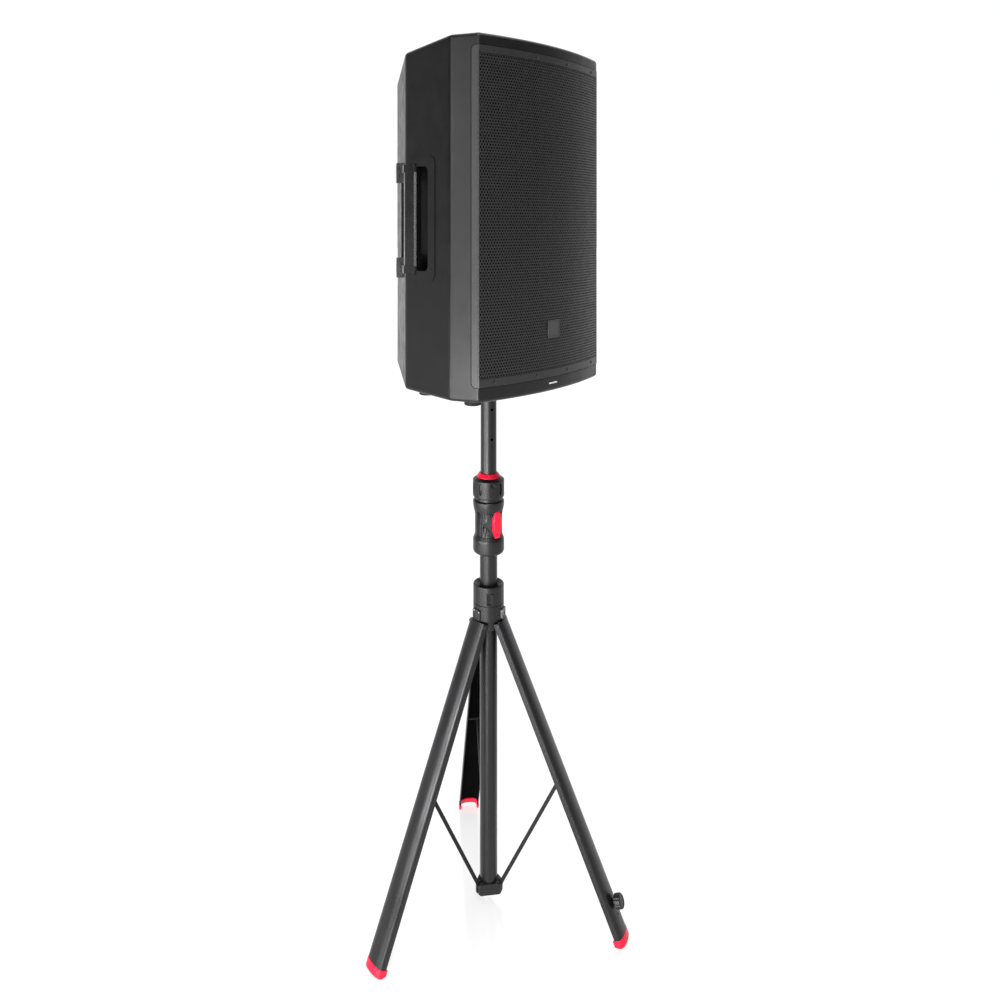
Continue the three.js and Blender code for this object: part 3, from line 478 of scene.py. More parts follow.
def leg_place(azimuth):
    """Local x across a leg, y out of its face, z down its length from the hinge."""
    a = math.radians(azimuth)
    outward = Vector((math.cos(a), math.sin(a), 0))
    tangent = Vector((-math.sin(a), math.cos(a), 0))
    up = Vector((0, 0, 1))
    normal = outward * math.cos(LEG_TILT) + up * math.sin(LEG_TILT)
    down = outward * math.sin(LEG_TILT) - up * math.cos(LEG_TILT)
    matrix = Matrix((tangent, normal, down)).transposed().to_4x4()
    matrix.translation = outward * HINGE[0] + up * HINGE[1]
    return matrix


def from_front(x, height, back=0.0):
    """Local z runs straight back from the front corners' plane, at a place on the cabinet."""
    matrix = spin(-90, "X")
    matrix.translation = (x, back - POLE_BACK, FLOOR + height)
    return matrix


def from_rear(x, height, back):
    """Local z runs out of the rear panel, local x to the right seen from behind."""
    matrix = Matrix(((-1, 0, 0), (0, 0, 1), (0, 1, 0))).to_4x4()
    matrix.translation = (x, back - POLE_BACK, FLOOR + height)
    return matrix


def screw_mesh(radius, height, place, recess=0.55):
    """A domed cross-recessed screw head standing on local z = 0."""
    steps = 24
    rings = [(radius, 0.0), (radius, height * 0.45), (radius * 0.8, height * 0.85), (radius * 0.52, height)]
    points = [place @ Vector((x, y, z)) for r, z in rings for x, y in ring_outline(r, steps)]
    cross = []
    for i in range(steps):
        arm = 1.0 if i % 6 in (0, 5) else 0.42
        a = TAU * (i + 0.5) / steps
        cross.append((radius * recess * 0.8 * arm * math.cos(a), radius * recess * 0.8 * arm * math.sin(a)))
    points += [place @ Vector((x, y, height)) for x, y in cross]
    points += [place @ Vector((x * 0.7, y * 0.7, height * 0.3)) for x, y in cross]
    levels = len(rings) + 1
    faces = bands(levels, steps)
    faces.append(list(range(levels * steps, (levels + 1) * steps)))
    faces.append(list(range(steps))[::-1])
    return points, faces


def screws(name, places, radius, height, look, body):
    heads = joined([screw_mesh(radius, height, place) for place in places])
    return piece(name, *heads, look, body, smooth=40.0)


# ---------------------------------------------------------------- cabinet outlines
def arc_back(half):
    return -BULGE * (1 - (half / CORNER_HALF) ** 2)


def rounded_corner(before, corner, after, radius, steps=6):
    corner = Vector(corner)
    a = (Vector(before) - corner).normalized()
    b = (Vector(after) - corner).normalized()
    half = a.angle(b) / 2
    reach = radius / math.tan(half)
    centre = corner + (a + b).normalized() * (radius / math.sin(half))
    start = corner + a * reach - centre
    sweep = math.pi - 2 * half
    turn = 1 if a.x * b.y - a.y * b.x < 0 else -1
    made = []
    for i in range(steps + 1):
        angle = turn * sweep * i / steps
        made.append(tuple(centre + Vector((
            start.x * math.cos(angle) - start.y * math.sin(angle),
            start.x * math.sin(angle) + start.y * math.cos(angle),
        ))))
    return made


def half_plan():
    """Front centre round to rear centre, as half-width and distance behind the front corners."""
    corner = (CORNER_HALF, 0.0)
    front = [(CORNER_HALF * i / 16, arc_back(CORNER_HALF * i / 16)) for i in range(15)]
    return (
        front
        + rounded_corner(front[-1], corner, SEAM, 9.0)
        + rounded_corner(corner, SEAM, SIDE, 30.0, 3)
        + rounded_corner(SEAM, SIDE, REAR, 22.0)
        + rounded_corner(SIDE, REAR, (0, REAR[1]), 22.0)
        + [(0.0, REAR[1])]
    )


def inset_half_plan(inset):
    plan = half_plan()
    moved = []
    for i, point in enumerate(plan):
        before = plan[i - 1] if i else (-plan[1][0], plan[1][1])
        after = plan[i + 1] if i + 1 < len(plan) else (-plan[i - 1][0], plan[i - 1][1])
        n1 = Vector((before[1] - point[1], point[0] - before[0])).normalized()
        n2 = Vector((point[1] - after[1], after[0] - point[0])).normalized()
        mitre = (n1 + n2).normalized()
        reach = inset / max(mitre.dot(n1), 0.3)
        moved.append((point[0] + mitre.x * reach, point[1] + mitre.y * reach))
    return moved


def slope(back, side_value, rear_value):
    if back <= SEAM[1]:
        return 0.0
    if back <= SIDE[1]:
        return side_value * (back - SEAM[1]) / (SIDE[1] - SEAM[1])
    return side_value + (rear_value - side_value) * (back - SIDE[1]) / (REAR[1] - SIDE[1])


def cabinet_ring(inset, from_end, top):
    ring = []
    for half, back in inset_half_plan(inset):
        if top:
            height = FLOOR + TALL - slope(back, SIDE_DROP, REAR_DROP) - from_end
        else:
            height = FLOOR + slope(back, SIDE_RISE, REAR_RISE) + from_end
        ring.append((half, back - POLE_BACK, height))
    return ring + [(-x, y, z) for x, y, z in ring[-2:0:-1]]


def ring_skin(rings):
    count = len(rings[0])
    points = [p for ring in rings for p in ring]
    faces = bands(len(rings) - 1, count)
    for level in (0, len(rings) - 1):
        for i in range(count // 2):
            quad = [level * count + k % count for k in (i, i + 1, count - i - 1, count - i)]
            kept = [c for k, c in enumerate(quad) if c not in quad[:k]]
            if len(kept) > 2:
                faces.append(kept)
    return points, faces


def cabinet_skin(edge=8.0, steps=5):
    curve = [(edge * (1 - math.sin(a)), edge * (1 - math.cos(a)))
             for a in (math.pi / 2 * i / steps for i in range(steps + 1))]
    floor = [cabinet_ring(inset, rise, False) for inset, rise in curve]
    roof = [cabinet_ring(inset, drop, True) for inset, drop in reversed(curve)]
    return ring_skin(floor + roof)


def cabinet_hollow(wall=5.0):
    return ring_skin([cabinet_ring(wall, wall, False), cabinet_ring(wall, wall, True)])


def cabinet_block(x0, x1, back0, back1, z0, z1):
    return prism_mesh(box_outline(x0, x1, back0 - POLE_BACK, back1 - POLE_BACK), z0 + FLOOR, z1 + FLOOR)


def across_prism(outline, half=300.0):
    """A prism running across the cabinet from an outline of distance back and height pairs."""
    place = Matrix(((0, 0, 1), (1, 0, 0), (0, 1, 0))).to_4x4()
    place.translation = (0, -POLE_BACK, FLOOR)
    return prism_mesh(outline, -half, half, place)


def seat_outline(margin, front=-60.0, radius=10.0):
    """The grille's place seen from the side: rounded at its two rear corners."""
    low, high, back = GRILLE_LOW - margin, GRILLE_HIGH + margin, BAFFLE + margin - 0.3
    outline = [(front, low)]
    for centre_z, start in ((low + radius, -90), (high - radius, 0)):
        for i in range(9):
            a = math.radians(start + 90 * i / 8)
            outline.append((back - radius + radius * math.cos(a), centre_z + radius * math.sin(a)))
    return outline + [(front, high)]


def chamfer_point(along, outward=0.0):
    run = Vector((REAR[0] - SIDE[0], REAR[1] - SIDE[1])).normalized()
    out = Vector((run.y, -run.x))
    point = Vector(SIDE) + run * along + out * outward
    return point.x, point.y


def behind_corners(outline):
    """Turns plan points given as half-width and distance behind the front corners into x and y."""
    return [(x, back - POLE_BACK) for x, back in outline]


def mirrored(mesh):
    points, faces = mesh
    return [(-p[0], p[1], p[2]) for p in points], [face[::-1] for face in faces]


# ---------------------------------------------------------------- cabinet mouldings
def pocket_meshes(margin):
    """The space for the fingers, with rounded front corners, and the seats of the handle's ends."""
    reach = 78 + margin
    rear = [(132 - margin, 205), (132 - margin, 236 + margin), chamfer_point(reach), chamfer_point(reach, 60)]
    ends = [(250, 157 - margin), (176 - margin, 157 - margin)] + rear
    tabs = [chamfer_point(49 - margin, 60), chamfer_point(49 - margin, -8.3 - margin),
            chamfer_point(reach, -8.3 - margin), chamfer_point(reach, 60)]
    space = margin + 0.3
    low, high = POCKET_LOW - margin, POCKET_HIGH + margin
    side = box_outline(121 - margin, 240, low, high, 12.0, 6)
    place = Matrix(((0, 0, 1), (1, 0, 0), (0, 1, 0))).to_4x4()
    place.translation = (0, -POLE_BACK, FLOOR)
    meshes = [prism_mesh([(min(back, 159.0 - margin), z) for back, z in side], 150 - margin, 250, place)]
    fingers = [(250, 156 - margin), (150 - margin, 156 - margin)] + rear
    for outline, z0, z1 in ((fingers, low, high), (ends, HANDLE_LOW - space, HANDLE_HIGH + space),
                            (tabs, TAB_LOW - space, TAB_HIGH + space)):
        meshes.append(prism_mesh(behind_corners(outline), FLOOR + z0, FLOOR + z1))
    return meshes


def side_pad_mesh():
    """The slightly raised field around a hand pocket, standing 1.4 mm off the side wall."""
    along = Vector((SIDE[0] - SEAM[0], SIDE[1] - SEAM[1], 0)).normalized()
    out = Vector((along.y, -along.x, 0))
    place = Matrix((along, Vector((0, 0, 1)), out)).transposed().to_4x4()
    place.translation = Vector((SEAM[0], SEAM[1] - POLE_BACK, FLOOR))
    front = 44.0
    outline = box_outline(front, front + 120.0, 228.5, 476.0, 16.0, 6)
    outline = [(min(x, 134.0), z) for x, z in outline]
    slim = []
    for point in outline:
        if not slim or (Vector(point) - Vector(slim[-1])).length > 0.01:
            slim.append(point)
    return prism_mesh(slim, -2.0, 1.4, place)


def build_rear_shell():
    shell = piece("cabinet_shell", *cabinet_skin(), "cabinet", "speaker")
    pads = [side_pad_mesh(), mirrored(side_pad_mesh())]
    carve(shell, pads, "UNION")
    carve(shell, [cabinet_block(-300, 300, -100, SEAM[1] + 0.5, -50, 800)])
    for mesh in pocket_meshes(0.0):
        carve(shell, [mesh, mirrored(mesh)])
    hollow = piece("hollow", *cabinet_hollow(), "cabinet", "speaker")
    for mesh in pocket_meshes(3.5):
        carve(hollow, [mesh, mirrored(mesh)])
    combine(shell, hollow)
    opening = cabinet_block(-90, 90, 300, 360, 110, 584)
    socket = prism_mesh(ring_outline(22.6, 64), FLOOR - 20, FLOOR + 30)
    carve(shell, [opening, socket])
    finish_piece(shell, "cabinet", "speaker", ["rear_shell"], 1.1, 28.0, 2)


def build_bezel():
    bezel = piece("front_bezel_frame", *cabinet_skin(), "bezel", "speaker")
    carve(bezel, [cabinet_block(-300, 300, SEAM[1] - 0.3, 400, -50, 800)])
    carve(bezel, [across_prism(seat_outline(0.6))])
    hollow = piece("hollow", *cabinet_hollow(), "bezel", "speaker")
    carve(hollow, [across_prism(box_outline(-60, 22.3, GRILLE_LOW - 6, GRILLE_HIGH + 6))])
    combine(bezel, hollow)
    ducts = [cabinet_block(s * 165 - 20, s * 165 + 20, BAFFLE, 110, 482, 638) for s in (-1, 1)]
    carve(bezel, ducts, "UNION")
    bores = [cabinet_block(s * 165 - 17, s * 165 + 17, 5, 120, 485, 635) for s in (-1, 1)]
    round_hole = prism_mesh(ring_outline(179, 96), 0, 40, from_front(0, 235))
    horn_hole = cabinet_block(-131, 131, 0, 40, 454, 666)
    light_slot = cabinet_block(-13.9, 13.9, -40, -24.5, 15.1, 18.9)
    carve(bezel, bores + [round_hole, horn_hole, light_slot])
    finish_piece(bezel, "bezel", "speaker", ["front_bezel"], 1.3, 28.0, 3)


# ---------------------------------------------------------------- grille
PITCH = 6.58  # between holes in a row
ROW = PITCH * math.sqrt(3) / 2
FIRST_ROW, LAST_ROW = 49.0, 663.0
HOLE = 2.35  # radius
SHEET = 1.4
WALK_STEPS = 1576


def arc_walk():
    """Points along the grille's face with the length walked, a quarter of a millimetre apart."""
    walked, trail = 0.0, []
    last = None
    for i in range(WALK_STEPS + 1):
        x = -CORNER_HALF + 2 * CORNER_HALF * i / WALK_STEPS
        point = Vector((x, arc_back(x)))
        if last is not None:
            walked += (point - last).length
        trail.append((walked, point))
        last = point
    return trail


TRAIL = arc_walk()
FACE_WIDTH = TRAIL[-1][0]
FLANK = Vector((203.0 - CORNER_HALF, 15.0))


def on_face(along, height, depth=0.0):
    """A place on the grille: along its width from the left bend, on the flank beyond either bend."""
    if along < 0 or along > FACE_WIDTH:
        over = -along if along < 0 else along - FACE_WIDTH
        direction = FLANK.normalized()
        side = -1 if along < 0 else 1
        x = CORNER_HALF + direction.x * over - direction.y * depth
        back = direction.y * over + direction.x * depth
        return side * x, back - POLE_BACK, FLOOR + height
    step = FACE_WIDTH / (len(TRAIL) - 1)
    index = min(int(along / step), len(TRAIL) - 2)
    while index + 1 < len(TRAIL) - 1 and TRAIL[index + 1][0] < along:
        index += 1
    while index > 0 and TRAIL[index][0] > along:
        index -= 1
    low, high = TRAIL[index], TRAIL[index + 1]
    f = (along - low[0]) / (high[0] - low[0])
    point = low[1].lerp(high[1], f)
    run = (high[1] - low[1]).normalized()
    inward = Vector((-run.y, run.x))
    point = point + inward * depth
    return point.x, point.y - POLE_BACK, FLOOR + height


def perforated_rows():
    """Hole centres: staggered rows, the outermost column standing on each bend."""
    count = round(FACE_WIDTH / PITCH)
    pitch = FACE_WIDTH / count
    rows = round((LAST_ROW - FIRST_ROW) / ROW)
    for row in range(rows + 1):
        shift = 0.5 if row % 2 else 0.0
        for column in range(count + (0 if row % 2 else 1)):
            yield (column + shift) * pitch, FIRST_ROW + row * ROW, pitch


def build_perforation():
    """One hexagonal cell of sheet per hole, with the hole's wall running back through the sheet."""
    points, faces = [], []
    for along, height, pitch in perforated_rows():
        start = len(points)
        reach = pitch / math.sqrt(3) + 0.01
        for k in range(6):
            a = math.radians(30 + 60 * k)
            points.append(on_face(along + reach * math.cos(a), height + reach * math.sin(a)))
        for depth in (0.0, SHEET):
            for k in range(6):
                a = math.radians(30 + 60 * k)
                points.append(on_face(along + HOLE * math.cos(a), height + HOLE * math.sin(a), depth))
        for k in range(6):
            n = (k + 1) % 6
            faces.append([start + k, start + n, start + 6 + n, start + 6 + k])
            faces.append([start + 6 + k, start + 6 + n, start + 12 + n, start + 12 + k])
    return points, faces


def grille_border():
    """The plain sheet round the perforation: a strip above, one below, and both flanks."""
    edge = FLANK.length - 0.6
    high_hole = FIRST_ROW + round((LAST_ROW - FIRST_ROW) / ROW) * ROW
    meshes = []
    for low, high in ((GRILLE_LOW + 0.3, FIRST_ROW - ROW * 0.68),
                      (high_hole + ROW * 0.68, GRILLE_HIGH - 0.3)):
        meshes.append(border_panel(0.0, FACE_WIDTH, low, high, 40))
    for side in (-1, 1):
        near, far = (0.0, -edge) if side < 0 else (FACE_WIDTH, FACE_WIDTH + edge)
        meshes.append(flank_panel(near, far))
    return joined(meshes)


def border_panel(start, end, low, high, steps):
    points = []
    for i in range(steps + 1):
        along = start + (end - start) * i / steps
        for height, depth in ((low, 0), (high, 0), (high, SHEET), (low, SHEET)):
            points.append(on_face(along, height, depth))
    return points, bands(steps, 4) + [[3, 2, 1, 0], [4 * steps + k for k in range(4)]]


def flank_panel(near, far):
    """A flank of the grille with its two rear corners rounded."""
    radius = 9.5
    low, high = GRILLE_LOW + 0.3, GRILLE_HIGH - 0.3
    direction = 1 if far > near else -1
    stations = [near + direction * s for s in (0.0, 2.0)]
    reach = abs(far - near)
    stations += [near + direction * (reach - radius + radius * math.sin(math.radians(a)))
                 for a in range(0, 91, 10)]
    points = []
    for station in stations:
        over = abs(station - near) - (reach - radius)
        trim = radius - math.sqrt(max(radius ** 2 - max(over, 0) ** 2, 0))
        for height, depth in ((low + trim, 0), (high - trim, 0), (high - trim, SHEET), (low + trim, SHEET)):
            points.append(on_face(station + direction * 1e-4, height, depth))
    last = len(stations) - 1
    return points, bands(last, 4) + [[3, 2, 1, 0], [4 * last + k for k in range(4)]]


def build_grille():
    piece("grille_perforated", *build_perforation(), "grille", "speaker", ["grille"], smooth=50.0)
    piece("grille_border", *grille_border(), "grille", "speaker", smooth=40.0)
    outline = [(x, arc_back(x) + 2.6 - POLE_BACK) for x in range(-190, 191, 10)]
    outline += [(x, arc_back(x) + 7.4 - POLE_BACK) for x in range(190, -191, -10)]
    foam = prism("grille_foam_sheet", outline, FLOOR + 34, FLOOR + 678, "foam", "speaker", ["grille_foam"])


def grille_screw_places():
    for x in (-161.4, -51.1, 51.1, 161.4):
        for height in (34.2 + 3.0, 677.1 - 3.0):
            yield from_front(x, height, arc_back(x)) @ Matrix.Rotation(math.pi, 4, "X")


# ---------------------------------------------------------------- handles, badge and trim
def handle_meshes():
    bar = behind_corners([(205, 163), (208.6, 167), (207.8, 194),
                          chamfer_point(10, 1.8), chamfer_point(15, -2),
                chamfer_point(13, -20), (184, 194), (186, 172), (190, 164)])
    end = behind_corners([(206, 162), (210.4, 165), (209.2, 196), chamfer_point(4, 4), chamfer_point(66, 4),
                chamfer_point(66, 12), chamfer_point(76.5, 12), chamfer_point(76.5, -8),
                chamfer_point(30, -22), (180, 194), (184, 164)])
    tab = behind_corners([chamfer_point(50, -6), chamfer_point(56, 12), chamfer_point(76.5, 12),
                          chamfer_point(76.5, -8)])
    low, high = FLOOR + HANDLE_LOW, FLOOR + HANDLE_HIGH
    return bar, end, tab, low, high


def build_handle(name, node, flip):
    bar, end, tab, low, high = handle_meshes()
    turn = mirrored if flip else (lambda mesh: mesh)
    body = turn(prism_mesh(bar, low, high))
    handle = piece(name, *body, "handle", "speaker")
    extras = [
        prism_mesh(end, low, low + 16), prism_mesh(end, high - 16, high),
        prism_mesh(tab, FLOOR + TAB_LOW, FLOOR + TAB_LOW + 42),
        prism_mesh(tab, FLOOR + TAB_HIGH - 42, FLOOR + TAB_HIGH),
    ]
    carve(handle, [turn(mesh) for mesh in extras], "UNION")
    finish_piece(handle, "handle", "speaker", [node], 1.6, 25.0, 3)


def build_badge():
    place = from_front(0, 128, -29.1)
    outline = box_outline(-19, 19, -18, 18, 2.5)
    badge = prism("badge_plain", outline, 0, 1.8, "badge", "speaker", ["badge_plate"], place, 0.5)
    rim = box_outline(-16.6, 16.6, -15.6, 15.6, 1.8)
    field = box_outline(-15.9, 15.9, -14.9, 14.9, 1.5)
    frame_rim = piece("badge_rim", *prism_mesh(rim, -0.45, 0.4, place), "bracket", "speaker")
    carve(frame_rim, [prism_mesh(field, -2, 2, place)])
    finish_piece(frame_rim, "bracket", "speaker", [], 0.15, 30.0, 2)


def build_front_trim():
    screws("grille_screws", list(grille_screw_places()), 3.6, 1.2, "bracket", "speaker")
    build_badge()
    outline = box_outline(-13.4, 13.4, 15.6, 18.4, 1.2)
    place = Matrix(((1, 0, 0), (0, 0, 1), (0, 1, 0))).to_4x4()
    place.translation = (0, -27.3 - POLE_BACK, FLOOR)
    prism("front_light", outline, 0, 2.4, "light", "speaker", ["status_light"], place, 0.4)


def build_rubber_foot(name, node, x, back, height):
    base = FLOOR + slope(back, SIDE_RISE, REAR_RISE) - 0.8
    place = Matrix.Translation((x, back - POLE_BACK, base - height))
    profile = [(0, 1.2), (4, 1.2), (5, 0), (15, 0), (16.6, 1.4), (18, height), (0, height)]
    turned(name, profile, "rubber", "speaker", [node], place, 64, 0.5)


def build_pole_socket():
    z = FLOOR
    profile = [(0, z + 90.3), (18.2, z + 90.3), (18.2, z - 2.5), (33, z - 2.5), (34, z - 1.5),
               (34, z + 0.4), (22, z + 0.4), (22, z + 96), (0, z + 96)]
    turned("pole_socket_cup", profile, "plastic", "speaker", ["pole_socket"], steps=64, bevel=0.5)
    places = []
    for i in range(4):
        a = math.radians(45 + 90 * i)
        place = Matrix.Rotation(math.pi, 4, "X")
        place.translation = (28 * math.cos(a), 28 * math.sin(a), z - 2.5)
        places.append(place)
    screws("socket_screws", places, 2.6, 1.1, "screw", "speaker")


# ---------------------------------------------------------------- rear panel
PLATE = 324.5  # outer side of the amplifier panel, behind the front corners
FACE = 324.8  # where the sockets and knobs on it start
JACK_ROW, KNOB_ROW, MAINS_ROW = 530.0, 478.0, 350.0
CONTROLS = (-48, -10, 34)


def build_panel():
    look_of("heat_sink", "alloy")
    look_of("amp_board", "board")
    look_of("power_supply", "board")
    tray = cabinet_block(-88, 88, 321, 338, 112, 582)
    panel = piece("amplifier_panel", *tray, "panel", "speaker")
    well = cabinet_block(-84, 84, 324.5, 343, 116, 578)
    holes = [prism_mesh(ring_outline(12, 40), 300, 345, from_front(x, JACK_ROW)) for x in CONTROLS]
    openings = [cabinet_block(x - w, x + w, 300, 345, z - h, z + h)
                for x, z, w, h in ((62, 478, 5.5, 5.5), (-40, 350, 7.5, 11), (20, 350, 24.5, 14.5))]
    carve(panel, [well] + holes + openings)
    finish_piece(panel, "panel", "speaker", ["amp_panel"], 1.0, 30.0, 2)
    corners = [(x, z) for x in (-79, 79) for z in (121, 235, 350, 465, 573)]
    places = [from_rear(x, z, PLATE) for x, z in corners]
    places += [from_rear(x + dx, JACK_ROW + dz, 327.2) for x in CONTROLS
               for dx, dz in ((-9.6, 12), (9.6, -12))]
    places += [from_rear(20 + dx, 350, 327.2) for dx in (-25.6, 25.6)]
    screws("panel_screws", places, 2.1, 0.9, "screw", "speaker")
    rules = [box_outline(-72, 72, low, high) for low, high in ((503, 503.8), (452, 452.8), (376, 376.8))]
    meshes = [prism_mesh([(x, z - 400) for x, z in rule], -0.2, 0.25, from_rear(0, 400, PLATE))
              for rule in rules]
    for x in (48, 10, -34):
        for step in range(11):
            a = math.radians(-150 + 30 * step)
            tick = Matrix.Translation((x, 0, 0)) @ Matrix.Rotation(-a, 4, "Z")
            place = from_rear(0, KNOB_ROW, PLATE) @ tick
            meshes.append(prism_mesh(box_outline(-0.35, 0.35, 11.0, 13.2), -0.2, 0.25, place))
    piece("panel_marks", *joined(meshes), "print", "speaker")


def build_jack(name, node, x, combined):
    place = from_front(x, JACK_ROW)
    flange = prism_mesh(box_outline(-13, 13, -15.5, 15.5, 2.0), 324.8, 327.2, place)
    jack = piece(name, *flange, "plastic", "speaker")
    carve(jack, [prism_mesh(ring_outline(11.6), 300, 326, place)], "UNION")
    carve(jack, [prism_mesh(ring_outline(8.6), 306, 340, place)])
    finish_piece(jack, "plastic", "speaker", [node], 0.5, 30.0, 2)
    meshes = []
    for i in range(3):
        a = math.radians(90 + 120 * i) if combined else math.radians(-90 + 90 * (i - 1) * 1.2)
        pin = Matrix.Translation((5.6 * math.cos(a), 5.6 * math.sin(a), 0))
        meshes.append(prism_mesh(ring_outline(1.2, 16), 305.5, 318.0, place @ pin))
    piece(name + "_contacts", *joined(meshes), "steel", "speaker", bevel=0.2)


def build_knob(name, node, body, x):
    """A fluted knob with a pointer line."""
    place = from_front(x, KNOB_ROW)
    b = FACE
    profile = [(0, b), (9, b), (9, b + 1.6), (7.8, b + 2.6), (7.0, b + 10.8), (6.2, b + 12), (0, b + 12)]
    knob = turned(name, profile, "plastic", body, [node], place, 48, 0.3)
    flutes = []
    for i in range(18):
        flute = Matrix.Rotation(TAU * (i + 0.5) / 18, 4, "Z") @ Matrix.Translation((8.4, 0, 0))
        flutes.append(prism_mesh(ring_outline(1.1, 10), b + 3, b + 14, place @ flute))
    carve(knob, flutes)
    finish_piece(knob, "plastic", body, [node], 0.0, 30.0)
    pointer = prism_mesh(box_outline(-0.5, 0.5, -6.6, -2.0), b + 11.6, b + 12.2, place)
    piece(name + "_pointer", *pointer, "print", body)


def build_rear_controls():
    build_panel()
    for name, node, x, combined in (("combo_socket_1", "input_jack_1", -48, True),
                                    ("combo_socket_2", "input_jack_2", -10, True),
                                    ("link_socket", "output_jack", 34, False)):
        build_jack(name, node, x, combined)
    for name, node, body, x in (("fluted_knob_1", "gain_knob_1", "gain_1", -48),
                                ("fluted_knob_2", "gain_knob_2", "gain_2", -10),
                                ("fluted_knob_3", "volume_knob", "volume", 34)):
        build_knob(name, node, body, x)
    place = from_front(62, KNOB_ROW)
    key = box_outline(-5, 5, -5, 5, 1.2)
    prism("mode_key", key, 316, 329, "plastic", "button", ["mode_button"], place, 0.6)
    rocker = [(-10, 317), (10, 317), (10, 326.4), (5, 326.5), (0, 328), (-5, 329.6), (-10, 330.6)]
    side = Matrix(((0, 0, 1), (0, 1, 0), (1, 0, 0))).to_4x4()
    side.translation = (-40, -POLE_BACK, FLOOR + MAINS_ROW)
    prism("rocker_key", rocker, -6.8, 6.8, "plastic", "rocker", ["power_rocker"], side, 0.5)
    place = from_front(20, MAINS_ROW)
    inlet = piece("mains_socket", *prism_mesh(box_outline(-28, 28, -17, 17, 3.0), 324.8, 327.2, place),
                  "plastic", "speaker")
    carve(inlet, [prism_mesh(box_outline(-24, 24, -14, 14), 300, 326, place)], "UNION")
    carve(inlet, [prism_mesh([(-12.5, -5), (-8.5, -8.5), (8.5, -8.5), (12.5, -5), (12.5, 8.5), (-12.5, 8.5)],
                             306, 340, place)])
    finish_piece(inlet, "plastic", "speaker", ["power_inlet"], 0.5, 30.0, 2)
    blades = [prism_mesh(box_outline(x - 1, x + 1, y - 2.2, y + 2.2), 305.5, 321, place)
              for x, y in ((-6.6, 2), (6.6, 2), (0, -2.4))]
    piece("mains_blades", *joined(blades), "steel", "speaker", bevel=0.3)


def dress_drivers():
    for node, look in (("woofer_basket", "panel"), ("woofer_magnet", "iron"), ("woofer_cone", "cone"),
                       ("woofer_surround", "rubber"), ("woofer_spider", "cone"), ("horn", "bezel"),
                       ("compression_driver", "iron")):
        look_of(node, look)


# ---------------------------------------------------------------- stand: tubes, grip and clutch
def lens_outline(half_width, half_height, steps=16):
    side = []
    for i in range(steps):
        a = -math.pi / 2 + math.pi * i / steps
        side.append((half_width * math.cos(a), half_height * math.sin(a)))
    return side + [(-x, -z) for x, z in side]


def build_tubes():
    turned("column", [(17.8, 22.3), (19, 22.3), (19, 872), (17.8, 872), (17.8, 22.3)], "paint", "stand",
           ["column_tube"], bevel=0.3)
    tube = turned("mast", [(15.7, 243), (17.5, 243), (17.5, 1213), (15.7, 1213), (15.7, 243)], "paint",
                  "mast",
                  ["mast_tube"], bevel=0.3)
    holes = [prism_mesh(ring_outline(3.2, 32), -30, 30, facing(-114, z)) for z in (1006, 1071)]
    carve(tube, holes)
    finish_piece(tube, "paint", "mast", ["mast_tube"], 0.0, 30.0)
    look_of("mast_piston", "plastic")
    z = 1213.0
    turned("pole_plug", [(0, z - 24), (14.6, z - 24), (15.3, z - 22), (15.3, z + 0.3), (17.3, z + 0.3),
                         (17.3, z + 8), (15.5, z + 10), (0, z + 10)],
           "plastic", "swivel", ["pole_cap"], bevel=0.4)
    turned("collet", [(17.8, 872.8), (20.8, 872.8), (20.8, 918), (19.6, 921), (17.8, 921), (17.8, 872.8)],
           "plastic", "stand", ["clutch_collet"], bevel=0.2)


def trigger_outline(margin, scale=1.0, steps=24):
    """Sides bowed out, ends blunt."""
    side = []
    for i in range(steps + 1):
        f = -1 + 2 * i / steps
        side.append(((6 + 5 * (1 - f * f) + margin) * scale, f * (28.25 + margin) * scale))
    return side + [(-x, -z) for x, z in side]


def build_grip():
    """A waisted shell with a flatter thumb panel, an arrow facet in it, and the trigger's well."""
    bore, low, high = 19.3, 757.0, 872.5
    waist = [(29.6 + 4.4 * t * t * (3 - 2 * t), t) for t in (i / 8 for i in range(9))]
    lower = [(r, 802 - 16 * t) for r, t in reversed(waist)]
    upper = [(r, 838 + 28 * t) for r, t in waist]
    profile = [(bore, low), (25, low), (29.5, low + 1), (32.4, low + 3.6), (34, low + 8)] + lower
    profile += upper + [(34, high - 1.6), (33, high), (bore, high), (bore, low)]
    grip = turned("grip_shell", profile, "plastic", "stand", ["grip_body"], steps=120, bevel=0.3)
    sector = [(0.0, 0.0)] + [(60 * math.cos(math.radians(a)), 60 * math.sin(math.radians(a)))
                             for a in range(-192, -70, 8)]
    panel = turned("panel_cut", [(29.0, 797), (60, 797), (60, 851), (29.0, 851), (29.0, 797)],
                   "plastic", "stand")
    wedge = piece("wedge", *prism_mesh(sector, 780, 870), "plastic", "stand")
    combine(panel, wedge, "INTERSECT")
    combine(grip, panel)
    place = facing(-138.7, 823)
    arrow = prism_mesh([(-11.4, 0), (9, 21), (16, 21), (16, -21), (9, -21)], 26.6, 60, place)
    ridge = [(-12, 0), (8, 20.6), (9.4, 19.6), (-9.8, 0), (9.4, -19.6), (8, -20.6)]
    well = prism_mesh(trigger_outline(0.6), 21.9, 60, facing(*TRIGGER_AT))
    carve(grip, [arrow])
    carve(grip, [prism_mesh(ridge, 25.5, 28.4, place)], "UNION")
    carve(grip, [well])
    finish_piece(grip, "plastic", "stand", ["grip_body"], 0.4, 26.0, 2)
    build_trigger()


